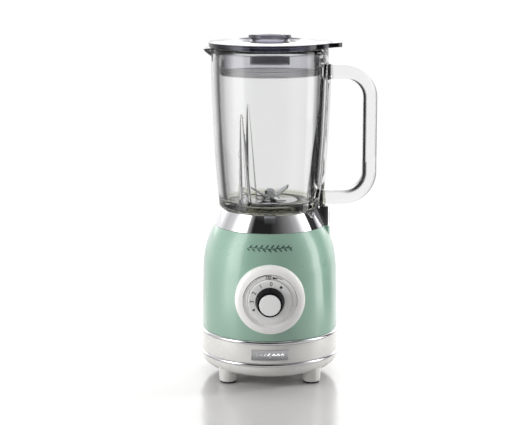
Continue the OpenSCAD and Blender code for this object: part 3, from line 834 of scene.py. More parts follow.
@dataclass(frozen=True)
class Wound(Finish):
    """Enamelled wire in a winding."""

    wire: float = 0.5

    def fill(self, graph: Graph, shader: bpy.types.Node) -> None:
        """Metal with the ridges of its turns, and painted shade in the grooves between them."""
        bands = {"Vector": graph.place(), "Scale": 0.5 / (self.wire * MM), "Distortion": 1.2}
        ridges = graph.add("TexWave", bands, bands_direction="Z").outputs["Fac"]
        # Painted shade: the grooves between the turns are darkened.
        dark = tuple(c * 0.35 for c in self.colour)
        shade = graph.blend(ridges, dark, self.colour)
        graph.tree.links.new(self.worked(graph, shade, 0.1, 0.02), shader.inputs["Base Color"])
        shader.inputs["Metallic"].default_value = 0.85
        self.bump(graph, shader, ridges, 0.15)


@dataclass(frozen=True)
class Stacked(Finish):
    """A stack of varnished laminations."""

    sheet: float = 0.5

    def fill(self, graph: Graph, shader: bpy.types.Node) -> None:
        """Steel with the dark joints between its sheets."""
        bands = {"Vector": graph.place(), "Scale": 0.5 / (self.sheet * MM), "Distortion": 0.15}
        joints = graph.add("TexWave", bands, bands_direction="Z").outputs["Fac"]
        dark = tuple(c * 0.4 for c in self.colour)
        shade = graph.blend(graph.remap(joints, 0.2, 0.5, 0.0, 1.0), dark, self.colour)
        graph.tree.links.new(self.worked(graph, shade, 0.2, 0.03), shader.inputs["Base Color"])
        shader.inputs["Metallic"].default_value = 0.8
        self.bump(graph, shader, joints, 0.08)


@dataclass(frozen=True)
class Printed(Finish):
    """A printed circuit board, with tracks under its green mask."""

    pitch: float = 4.0

    def fill(self, graph: Graph, shader: bpy.types.Node) -> None:
        """Green mask, paler over the tracks."""
        cells = graph.add("TexBrick", {"Vector": graph.place(turn=(math.pi / 2, 0.0, 0.0)), "Scale": 1.0})
        cells.inputs["Brick Width"].default_value = 3 * self.pitch * MM
        cells.inputs["Row Height"].default_value = self.pitch * MM
        cells.inputs["Mortar Size"].default_value = 0.2 * self.pitch * MM
        tracks = cells.outputs["Fac"]
        pale = tuple(min(1.0, c * 1.9 + 0.02) for c in self.colour)
        shade = graph.blend(tracks, self.colour, pale)
        graph.tree.links.new(self.worked(graph, shade, 0.1, 0.03), shader.inputs["Base Color"])
        self.bump(graph, shader, tracks, 0.05)


ENAMEL = Moulded(
    "mint_enamel", (0.265, 0.425, 0.335), 0.30, grain=1.6, depth=0.004, swell=0.6, coat=1.0,
    coat_roughness=0.05
)
CHROME = Metal("bright_chrome", (0.80, 0.80, 0.82), 0.035, pitch=0.8, depth=0.0006, brushing=0.012, dust=0.01)
CREAM = Moulded(
    "cream_gloss_plastic", (0.71, 0.70, 0.67), 0.26, grain=1.0, depth=0.004, coat=0.5, coat_roughness=0.08
)
DIAL_CREAM = Moulded(
    "dial_cream_plastic", (0.93, 0.92, 0.90), 0.26, grain=1.0, depth=0.004, coat=0.8, coat_roughness=0.08
)
# The frame brings a material of this name, so the nameplate shows that one and not the values given here.
PLATE = Metal(
    "brushed_plate", (0.36, 0.36, 0.365), 0.36, lines=Lines.FLAT, pitch=0.25, depth=0.006, brushing=0.1
)
EMBOSS = Metal("bright_plate_relief", (0.82, 0.82, 0.83), 0.16, lines=Lines.FLAT, pitch=0.3, brushing=0.05)
BLACK = Moulded("satin_black_plastic", (0.018, 0.018, 0.02), 0.42, grain=0.5, depth=0.012)
GLOSS_BLACK = Moulded(
    "gloss_black_plastic", (0.004, 0.004, 0.005), 0.3, grain=0.6, depth=0.003, specular=0.02, wear=0.02,
    dust=0.0
)
WHITE = Moulded("dial_white_plastic", (0.92, 0.92, 0.91), 0.3, grain=0.6, depth=0.003, coat=0.3)
SILVER = Moulded("silver_lacquer", (0.93, 0.93, 0.925), 0.36, grain=0.25, depth=0.003, coat=0.4)
INK = Moulded("black_print", (0.012, 0.012, 0.014), 0.4, grain=0.25, depth=0.004)
SCROLL_INK = Moulded("dark_green_print", (0.008, 0.045, 0.038), 0.4, grain=0.25, depth=0.004)
GREY = Moulded("satin_grey_plastic", (0.26, 0.27, 0.29), 0.4, grain=0.6, depth=0.01)
RUBBER = Moulded("black_rubber", (0.022, 0.022, 0.024), 0.7, grain=0.4, depth=0.03, specular=0.35)
SILICONE = Clear(
    "clear_silicone", (0.94, 0.93, 0.93), 0.15, ior=1.41, transmission=0.8, waves=0.01, wave_size=6.0
)
# The glass carries painted dark edges where it is seen edge-on.
GLASS = Clear(
    "pressed_glass", (0.93, 0.935, 0.93), 0.0, waves=0.03, smudges=0.004, edge=0.9, foot=210.0,
    foot_colour=(0.62, 0.62, 0.52)
)
# The lid carries painted shade on its rim and its tab.
SMOKED = Clear(
    "smoked_lid_plastic", (0.90, 0.895, 0.935), 0.05, ior=1.4, transmission=0.95, waves=0.01, rim=67.0,
    rim_shade_colour=(0.02, 0.02, 0.035)
)
# The cap carries painted shade round its edge.
CAP_SMOKED = Clear(
    "smoked_cap_plastic", (0.80, 0.79, 0.86), 0.05, ior=1.4, transmission=0.95, waves=0.01, rim=24.4,
    rim_shade_colour=(0.10, 0.10, 0.14)
)
STEEL = Metal("turned_steel", (0.66, 0.66, 0.68), 0.16, pitch=0.4, depth=0.002, brushing=0.05)
BLADE = Metal("ground_blade_steel", (0.76, 0.76, 0.77), 0.12, lines=Lines.FLAT, pitch=0.25, brushing=0.06)
BRASS = Metal("turned_brass", (0.66, 0.48, 0.20), 0.25, pitch=0.4, depth=0.002, brushing=0.05)
COPPER = Metal("commutator_copper", (0.66, 0.34, 0.20), 0.28, pitch=0.3, depth=0.003, brushing=0.06)
WINDING = Wound("enamelled_winding", (0.60, 0.24, 0.10), 0.3)
LAMINATION = Stacked("varnished_laminations", (0.30, 0.30, 0.31), 0.45)
CARBON = Moulded("pressed_carbon", (0.03, 0.03, 0.03), 0.6, grain=0.3, depth=0.02, coat=0.0)
BOARD = Printed("circuit_board", (0.02, 0.12, 0.05), 0.35)
LEAD = Moulded("red_lead_sleeve", (0.55, 0.02, 0.015), 0.45, grain=0.4, depth=0.01)

SLOT_FINISH: dict[str, Finish] = {
    "painted_shell": ENAMEL,
    "chrome": CHROME,
    "cream_plastic": CREAM,
    "brushed_plate": PLATE,
    "black_plastic": BLACK,
    "gloss_black": GLOSS_BLACK,
    "white_plastic": WHITE,
    "clear_glass": GLASS,
    "smoked_plastic": SMOKED,
    "clear_seal": SILICONE,
    "grey_plastic": GREY,
    "rubber": RUBBER,
    "steel": STEEL,
    "lamination": LAMINATION,
    "copper": COPPER,
    "brass": BRASS,
    "carbon": CARBON,
    "board": BOARD,
    "lead_red": LEAD,
}


def hand_over(
    piece: Piece, finish: Finish, body: str, nodes: Sequence[str] = ()
) -> Piece:
    """Dress a finished piece and put it in the frame.

    Args:
        piece: The finished mesh, its place in its mesh.
        finish: Its finish.
        body: The CAD body that it rides on.
        nodes: The CAD nodes that it stands for.

    Returns:
        The same piece.
    """
    piece.data.materials.clear()
    piece.data.materials.append(finish.material())
    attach(piece, body)
    if nodes:
        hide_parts(*nodes)
    LOG.info("%s: %d faces, %s, on %s", piece.name, len(piece.data.polygons), finish.name, body)
    return piece


# ---- Power base ----


SHELL_FOOT = 56.7
SHELL_RADIUS = 80.0
SHELL_KNEE = 117.0
KNEE_RADIUS = 78.0
TAPER, TAPER_RUN = 2.0, 60.3
NECK_DRAW, NECK_RUN, NECK_POWER = 13.9, 60.5, 2.55


def shell_radius(height: float) -> float:
    """Outer radius of the painted shell at a height: a taper up to the knee, then a curve to the neck."""
    if height < SHELL_KNEE:
        return SHELL_RADIUS - TAPER * (height - SHELL_FOOT) / TAPER_RUN
    return KNEE_RADIUS - NECK_DRAW * ((height - SHELL_KNEE) / NECK_RUN) ** NECK_POWER


@dataclass
class PowerBase:
    """The painted motor base with its bright collar, trim rings, band, pan and feet."""

    nodes: dict[str, Piece]
    shell_foot: float = SHELL_FOOT
    shell_top: float = 177.3
    shell_wall: float = 2.5
    collar_foot: float = 177.5
    collar_top: float = 196.9
    collar_foot_radius: float = 64.1
    collar_top_radius: float = 55.4
    collar_bore: float = 50.9
    tower_face: float = 69.7
    tower_half: float = 13.0
    tower_round: float = 3.5
    tower_top: float = 199.7
    trim_radius: float = 82.0
    trim_height: float = 4.4
    trim_centres: tuple[float, float] = (28.4, 54.5)
    band_radius: float = 80.6
    foot_pitch: float = 48.0
    foot_radius: float = 10.0
    plate_half: float = 21.3
    plate_low: float = 34.4
    plate_high: float = 46.9
    gland_height: float = 41.0
    plunger_place: float = 62.8
    lozenge_pairs: int = 3
    lozenge_pitch: float = 4.7
    lozenge_sizes: tuple[float, float] = (3.0, 2.3)
    sprig_height: float = 162.4
    sprig_half: float = 25.5
    sprig_pitch: float = 6.1
    sprig_slant: float = 0.75
    leaf_count: int = 17
    leaf_steps: int = 16
    stem_steps: int = 60

    def tower(self, name: str, low: float, high: float, inner: float) -> Piece:
        """The block under the handle that holds the interlock plunger.

        Args:
            name: Name of the new piece.
            low: Height of its foot.
            high: Height of its top.
            inner: How near the axis it reaches.

        Returns:
            The new piece.
        """
        half = self.tower_half
        piece = block(name, (inner, -half, low), (self.tower_face, half, high))
        outer = self.tower_face * MM - WELD
        with editing(piece):
            bpy.ops.mesh.select_all(action="DESELECT")
        for edge in piece.data.edges:
            ends = [piece.data.vertices[i].co for i in edge.vertices]
            edge.select = all(co.x > outer for co in ends) and abs(ends[0].z - ends[1].z) > WELD
        with editing(piece, "EDGE"):
            bpy.ops.mesh.bevel(offset=self.tower_round * MM, segments=6, affect="EDGES")
        return piece

    def build(self) -> None:
        """Model and dress every visible piece of the base."""
        self.build_shell()
        self.build_collar()
        self.build_skirt()
        self.build_feet()
        self.build_plate()
        self.build_scroll()
        self.build_back()
        seat = softened(self.nodes["jug_seat"], "jug_seat_liner", 0.35)
        hand_over(seat, BLACK, "base", ["jug_seat"])

    def build_shell(self) -> None:
        """The painted shell, a hollow bell whose back edge rises into the tower."""
        foot, top, wall = self.shell_foot, self.shell_top, self.shell_wall
        heights = [SHELL_KNEE + (top - 1.0 - SHELL_KNEE) * i / 26 for i in range(27)]
        outer = [(shell_radius(z), z) for z in heights]
        inner = [(r - wall, z) for r, z in reversed(outer)]
        corners = [
            (SHELL_RADIUS - wall, foot), (SHELL_RADIUS, foot, 0.6), *outer, (shell_radius(top), top, 0.35)
        ]
        corners += [(shell_radius(top) - wall, top), *inner]
        shell = lathe("shell_body", rounded(corners), steps=192)
        tower = self.tower("shell_tower", 150.0, top, 60.0)
        combine(shell, Shape.ADD, tower)
        combine(
            shell, Shape.CUT,
            rod("plunger_well", 5.5, (self.plunger_place, 0, 161.0), (self.plunger_place, 0, 180.0))
        )
        ease(shell, 0.5, 3, 42.0)
        hand_over(shell, ENAMEL, "base", ["shell"])

    def build_collar(self) -> None:
        """The bright collar, with its own part of the tower, its front notch and the plunger's hole."""
        low, high, wall = self.collar_foot, self.collar_top, 1.8
        outline = rounded(
            [
                (self.collar_foot_radius - wall, low),
                (self.collar_foot_radius, low, 0.25),
                (self.collar_top_radius, high, 0.7),
                (self.collar_bore, high, 0.4),
                (self.collar_bore, high - 1.5),
                (self.collar_top_radius - wall, high - 1.5),
            ]
        )
        collar = lathe("neck_collar", outline, steps=192)
        upper = self.tower("collar_tower", low, self.tower_top, 52.0)
        clearance = lathe(
            "jug_clearance", rounded([(0, high), (59.2, high), (59.2, 205.0), (0, 205.0)], False), steps=96
        )
        combine(
            upper, Shape.CUT, clearance,
            rod("collar_bore", self.collar_bore, (0, 0, 170.0), (0, 0, 205.0), 96)
        )
        combine(collar, Shape.ADD, upper)
        notch = block("front_notch", (-6.7, -65.0, 193.9), (6.7, -45.0, 200.0))
        hole = rod("plunger_hole", 2.5, (self.plunger_place, 0, 170.0), (self.plunger_place, 0, 205.0), 32)
        combine(collar, Shape.CUT, notch, hole)
        ease(collar, 0.35, 3, 42.0)
        hand_over(collar, CHROME, "base", ["collar"])

    def build_skirt(self) -> None:
        """The two trim rings, the plain band between them and the vented pan under them."""
        half = self.trim_height / 2
        for label, centre in zip(("lower", "upper"), self.trim_centres):
            corners = [(76.0, centre - half), (self.trim_radius, centre - half, half)]
            corners += [(self.trim_radius, centre + half, half), (76.0, centre + half)]
            ring = lathe(f"{label}_trim_bead", rounded(corners, facets=9), steps=192)
            hand_over(ring, CHROME, "base", [f"{label}_trim_ring"])
        low, high = self.trim_centres[0] + half, self.trim_centres[1] - half
        corners = [(self.band_radius - 3, low), (self.band_radius, low, 0.5), (self.band_radius, high, 0.5)]
        band = lathe("plain_band", rounded([*corners, (self.band_radius - 3, high)]), steps=192)
        opening = rod("cord_opening", 6.0, (0, 60.0, self.gland_height), (0, 95.0, self.gland_height))
        combine(band, Shape.CUT, opening)
        hand_over(smooth(band), CREAM, "base", ["band"])
        curve = arc(66.0, 26.2, 14.2, -90.0, 0.0, 14)
        inside = [
            (r - 2.5 * math.cos(math.radians(90 - i * 90 / 14)), max(z, 14.5)) for i,
            (r, z) in enumerate(curve)
        ]
        outline = [(0.0, 12.0), *curve, (80.2, 26.2), (77.7, 26.2), *reversed(inside), (0.0, 14.5)]
        pan = lathe("vented_pan", outline, steps=192)
        slots = []
        for i in range(-4, 5):
            reach = 24.0 - 2.0 * abs(i)
            slots.append(
                block(f"vent_{i + 4}", (6.0 * i - 1.2, -reach, 5.0), (6.0 * i + 1.2, reach, 20.0), 1.1)
            )
        combine(pan, Shape.CUT, gather("vents", slots))
        hand_over(smooth(pan), CREAM, "base", ["base_pan"])

    def build_feet(self) -> None:
        """Four peg feet, each on its rubber pad."""
        pitch, radius = self.foot_pitch, self.foot_radius
        corners = [(0, 2.0), (radius - 0.5, 2.0, 0.3), (radius - 0.5, 2.6, 0.2), (radius + 0.1, 2.9, 0.5)]
        corners += [(radius + 1.3, 18.0), (0, 18.0)]
        foot = lathe("peg_foot", rounded(corners, False), steps=64)
        pad_corners = [
            (0, 0.6), (4.0, 0.6, 0.2), (4.6, 0.0, 0.2), (6.2, 0.0, 0.2), (6.8, 0.6, 0.2), (7.4, 0.6, 0.2)
        ]
        pad_corners += [(7.9, 0.0, 0.2), (radius - 0.7, 0.0, 0.5), (radius - 0.7, 2.0, 0.1), (0, 2.0)]
        pad = lathe("rubber_pad", rounded(pad_corners, False), steps=64)
        pads = []
        for label, x, y in (
            ("front_left", -1, -1), ("front_right", 1, -1), ("back_left", -1, 1), ("back_right", 1, 1)
        ):
            for source, bucket in ((foot, None), (pad, pads)):
                copy = turned_copy(source, 0.0)
                copy.name = f"{'peg' if bucket is None else 'pad'}_{label}"
                with editing(copy):
                    bpy.ops.mesh.select_all(action="SELECT")
                    bpy.ops.transform.translate(value=(x * pitch * MM, y * pitch * MM, 0.0))
                if bucket is None:
                    hand_over(smooth(copy), CREAM, "base", [f"foot_{label}"])
                else:
                    bucket.append(copy)
        hand_over(smooth(gather("rubber_pads", pads)), RUBBER, "base", ["foot_pads"])
        for source in (foot, pad):
            bpy.data.objects.remove(source)

    def curved_plate(
        self, name: str, corners: Sequence[Sequence[float]], half: float, steps: int = 28
    ) -> Piece:
        """A plate bent round the base, centred on the front.

        Args:
            name: Name of the new piece.
            corners: Its section, as for rounded().
            half: Half its width along the curve.
            steps: Steps across it.

        Returns:
            The new piece.
        """
        turn = half / self.band_radius
        piece = draw(name, [Axis.DRIVE.place(*p) for p in rounded(corners)])
        with editing(piece):
            weld_all()
            bpy.ops.mesh.edge_face_add()
            bpy.ops.transform.rotate(
                value=math.pi / 2 - turn, orient_axis="Z", center_override=(0.0, 0.0, 0.0)
            )
            bpy.ops.mesh.spin(steps=steps, angle=2 * turn, center=(0.0, 0.0, 0.0), axis=(0.0, 0.0, 1.0))
        return clean(piece)

    def build_plate(self) -> None:
        """The brushed plate on the band: a raised border round a plain row of lozenges."""
        base, low, high, rim = self.band_radius, self.plate_low, self.plate_high, 0.9
        section = [(base - 0.8, low), (base + 1.2, low, 0.3), (base + 1.2, high, 0.3), (base - 0.8, high)]
        plate = self.curved_plate("brushed_nameplate", section, self.plate_half)
        field_section = [
            (base + 0.8, low + rim), (base + 2.0, low + rim), (base + 2.0, high - rim),
            (base + 0.8, high - rim)
        ]
        combine(plate, Shape.CUT, self.curved_plate("plate_field", field_section, self.plate_half - rim))
        ease(plate, 0.12, 2)
        hand_over(plate, PLATE, "base", ["nameplate"])
        middle = (low + high) / 2
        reliefs = []
        pairs = self.lozenge_pairs
        for i in range(-pairs, pairs + 1):
            size = self.lozenge_sizes[0 if i == 0 else 1]
            back, front = (0, -base - 0.7, middle), (0, -base - 1.15, middle)
            stud = rod(f"lozenge_{i + pairs}", size, back, front, 4, size * 0.72)
            reliefs.append(turned_copy(stud, math.degrees(i * self.lozenge_pitch / base)))
            bpy.data.objects.remove(stud)
        relief = gather("plate_relief", reliefs)
        hand_over(smooth(relief, 20.0), EMBOSS, "base")

    def on_shell(self, along: float, height: float) -> Vector:
        """A place on the front of the shell, by its length round it and its height, in metres."""
        radius = shell_radius(height) + 0.07
        angle = along / radius
        return Vector((radius * math.sin(angle), -radius * math.cos(angle), height)) * MM

    def build_scroll(self) -> None:
        """The printed sprig over the dial, slanted leaves above and below a thin stem."""
        middle, half = self.sprig_height, self.sprig_half
        strokes = []
        for i in range(self.leaf_count):
            place = i - self.leaf_count // 2
            side = 1.0 if i % 2 else -1.0
            reach = side * (4.4 - 0.14 * abs(place))
            left, right = [], []
            for j in range(self.leaf_steps + 1):
                t = j / self.leaf_steps
                along = place * self.sprig_pitch / 2 + self.sprig_slant * reach * side * t - 1.6
                width = 1.05 * math.sin(math.pi * t**0.8) ** 0.8 + 0.04
                z = middle + 0.3 * side + (reach - 0.3 * side) * t
                left.append(self.on_shell(along - width, z))
                right.append(self.on_shell(along + width, z))
            strokes.append(ribbon(f"scroll_leaf_{i}", left, right, 0.12))
        left, right = [], []
        for i in range(self.stem_steps + 1):
            t = i / self.stem_steps
            along, z = -half + 2 * half * t, middle + 0.5 * math.sin(math.tau * 1.5 * t)
            width = 0.3 + 0.25 * t
            left.append(self.on_shell(along, z + width))
            right.append(self.on_shell(along, z - width))
        strokes.append(ribbon("scroll_stem", left, right, 0.1))
        hand_over(gather("printed_scroll", strokes), SCROLL_INK, "base")

    def build_back(self) -> None:
        """The cord gland at the back."""
        height = self.gland_height
        outline = rounded(
            [
                (3.6, 70.0), (8.0, 70.0), (8.0, 73.0), (6.0, 73.0), (6.0, 80.8), (9.0, 80.8, 0.3),
                (7.5, 84.8, 0.9), (3.6, 84.8, 0.8)
            ]
        )
        gland = draw("cord_sleeve", [Vector((r, y, height)) * MM for r, y in outline])
        with editing(gland):
            weld_all()
            bpy.ops.mesh.spin(
                steps=64, angle=math.tau, center=(0, 0, height * MM), axis=(0, 1, 0), use_auto_merge=True
            )
        hand_over(smooth(clean(gland)), BLACK, "base", ["cord_gland"])


# ---- Dial ----


@dataclass
class Dial:
    """The round dial on the front: its bezel, numbered disc, fluted knob and silver cap."""

    bezel_radius: float = 39.5
    disc_radius: float = 24.6
    face: float = 87.9
    disc_face: float = 89.0
    knob_foot: float = 89.6
    knob_face: float = 105.6
    knob_foot_radius: float = 16.6
    knob_radius: float = 13.9
    flutes: int = 24
    number_radius: float = 20.2
    number_height: float = 4.6
    numbers: dict[str, float] = field(
        default_factory=lambda: {"0": 4.0, "1": -30.0, "2": -61.0, "3": -90.0, "4": -118.0}
    )
    pulse_angle: float = 37.0
    dish_edge: float = 31.0
    dish_slope: float = 0.3

    def build(self) -> None:
        """Model and dress the dial."""
        self.build_bezel()
        self.build_disc()
        self.build_knob()

    def build_bezel(self) -> None:
        """The dished bezel, what is printed on it and a painted shadow line round the top of its inner ring.
        """
        rim = arc(self.bezel_radius - 1.2, 79.4, 1.2, 0.0, 62.0, 6)
        dish = arc(27.5, 69.5, 18.5, 52.0, 78.0, 14)
        edge = self.disc_radius + 0.5
        inner = [
            (self.dish_edge, self.level(self.dish_edge)), (edge + 0.2, self.level(edge)),
            (edge, self.level(edge) - 0.2)
        ]
        inner += [(edge, 84.6), (12.2, 84.6), (12.2, 72.0)]
        outline = [(self.bezel_radius, 62.0), *rim, *dish, *inner, (self.bezel_radius, 62.0)]
        bezel = lathe("dial_bezel", outline, Axis.DIAL, 160, 40.0)
        hand_over(bezel, DIAL_CREAM, "base", ["bezel"])
        marks = [
            self.sweep(name, inner_radius, outer_radius, start, stop, taper=taper)
            for name, inner_radius, outer_radius, start, stop, taper in (
                # Painted shadow: a dark line over the upper half of the ring at radius 30, where a step would
                # cast it.
                ("step_shadow_line", 30.3, 30.8, -82.0, 100.0, 1.0),
                ("heavy_line", 29.7, 30.8, -33.0, -7.0, 1.0),
                ("arrow_tail", 28.0, 28.7, 14.0, 30.0, 1.0),
                ("arrow_head", 25.4, 28.4, 6.5, 19.0, 0.1),
                ("sign_top", 28.9, 29.7, -8.0, 3.0, 1.0),
                ("sign_foot", 25.4, 26.1, -7.0, 2.5, 1.0),
                ("sign_left", 26.0, 29.2, -8.6, -7.2, 1.0),
                ("sign_right", 26.0, 29.2, 1.6, 3.0, 1.0),
                ("sign_heart", 26.6, 28.6, -4.2, -1.4, 1.0),
            )
        ]
        # The painted shadow line shares the black print finish with the printed marks.
        hand_over(gather("bezel_print_and_shadow_line", marks), INK, "base")

    def level(self, radius: float) -> float:
        """How far out the bezel's inner face lies, which falls a little towards the disc."""
        return self.face - self.dish_slope * (self.dish_edge - radius)

    def sweep(
        self,
        name: str,
        inner: float,
        outer: float,
        start: float,
        stop: float,
        level: float = 0.0,
        taper: float = 1.0,
    ) -> Piece:
        """A thin arc about the dial axis, for print and for a painted shadow line.

        Args:
            name: Name of the new piece.
            inner: Its inner radius.
            outer: Its outer radius.
            start: Where it starts, in degrees clockwise from the top.
            stop: Where it ends.
            level: How far out it lies, or 0 to lie on the bezel.
            taper: Its width at the end as a share of its width at the start.

        Returns:
            The new piece.
        """
        steps = max(4, int(abs(stop - start) / 2.5))
        rails: list[list[Vector]] = [[], []]
        for i in range(steps + 1):
            t = i / steps
            angle = math.radians(start + (stop - start) * t)
            share = 1.0 + (taper - 1.0) * t
            centre, half = (inner + outer) / 2, (outer - inner) / 2 * share
            for rail, radius in zip(rails, (centre - half, centre + half)):
                out = level or self.level(radius) + 0.06
                rail.append(
                    Vector((radius * math.sin(angle), -out, DIAL_HEIGHT + radius * math.cos(angle))) * MM
                )
        return ribbon(name, rails[0], rails[1], 0.1)

    def build_disc(self) -> None:
        """The white disc and its numbers."""
        r = self.disc_radius
        outline = rounded(
            [(3.1, 85.8), (r, 85.8), (r, 88.7, 0.2), (r - 0.6, self.disc_face, 0.2), (3.1, self.disc_face)]
        )
        disc = lathe("dial_plate", outline, Axis.DIAL, 128)
        hand_over(disc, WHITE, "dial", ["dial_disc"])
        digits = []
        for text, angle in self.numbers.items():
            deselect_all()
            bpy.ops.object.text_add()
            digit = bpy.context.object
            digit.name = "digit_" + text
            digit.data.body = text
            digit.data.size = self.number_height * 1.38 * MM
            digit.data.align_x, digit.data.align_y = "CENTER", "CENTER"
            digit.data.extrude = 0.05 * MM
            digit.data.offset = 0.04 * MM
            pick(digit)
            bpy.ops.object.convert(target="MESH")
            stand = Matrix.Rotation(math.pi / 2, 4, "X")
            out = Matrix.Translation(Vector((0.0, -self.disc_face - 0.03, self.number_radius)) * MM)
            turn = Matrix.Rotation(math.radians(angle), 4, "Y")
            lift = Matrix.Translation(Vector((0.0, 0.0, DIAL_HEIGHT)) * MM)
            digit.matrix_world = lift @ turn @ out @ stand
            digits.append(clean(settle(digit), WELD / 10))
        start, stop = self.pulse_angle - 4.0, self.pulse_angle + 4.0
        digits.append(self.sweep("pulse_dot", 19.3, 22.0, start, stop, self.disc_face + 0.03))
        hand_over(gather("dial_numbers", digits), INK, "dial")

    def build_knob(self) -> None:
        """The fluted knob and its cap."""
        foot, face = self.knob_foot, self.knob_face
        corners = [(3.1, foot), (self.knob_foot_radius, foot, 0.5), (self.knob_radius, face - 1.0, 0.6)]
        corners += [
            (self.knob_radius - 0.9, face, 0.4), (12.15, face, 0.15), (12.15, face - 1.6), (3.1, face - 1.6)
        ]
        knob = lathe("fluted_knob", rounded(corners), Axis.DIAL, 144)
        reach, lean = self.knob_foot_radius + 0.9, math.radians(9.0)
        start = (reach, -(foot + 2.0), DIAL_HEIGHT)
        stop = (reach - 14.0 * math.sin(lean), -(foot + 2.0 + 14.0 * math.cos(lean)), DIAL_HEIGHT)
        flute = rod("flute", 1.35, start, stop, 24)
        cuts = [turned_copy(flute, 360.0 * i / self.flutes, Axis.DIAL) for i in range(self.flutes)]
        bpy.data.objects.remove(flute)
        combine(knob, Shape.CUT, gather("flutes", cuts))
        ease(knob, 0.18, 2, 36.0)
        hand_over(knob, GLOSS_BLACK, "dial", ["knob"])
        corners = [
            (0, face - 1.6), (12.0, face - 1.6), (12.0, face - 0.1, 0.3), (11.5, face + 0.3, 0.3),
            (0, face + 0.3)
        ]
        cap = lathe("knob_inlay", rounded(corners, False), Axis.DIAL, 128)
        hand_over(cap, SILVER, "dial", ["knob_cap"])


# ---- Jug ----


def jug_radius(height: float) -> float:
    """Outer radius of the jug's wall at a height."""
    return 67.4 - 8.4 * ((375.0 - min(height, 375.0)) / 170.0) ** 1.8


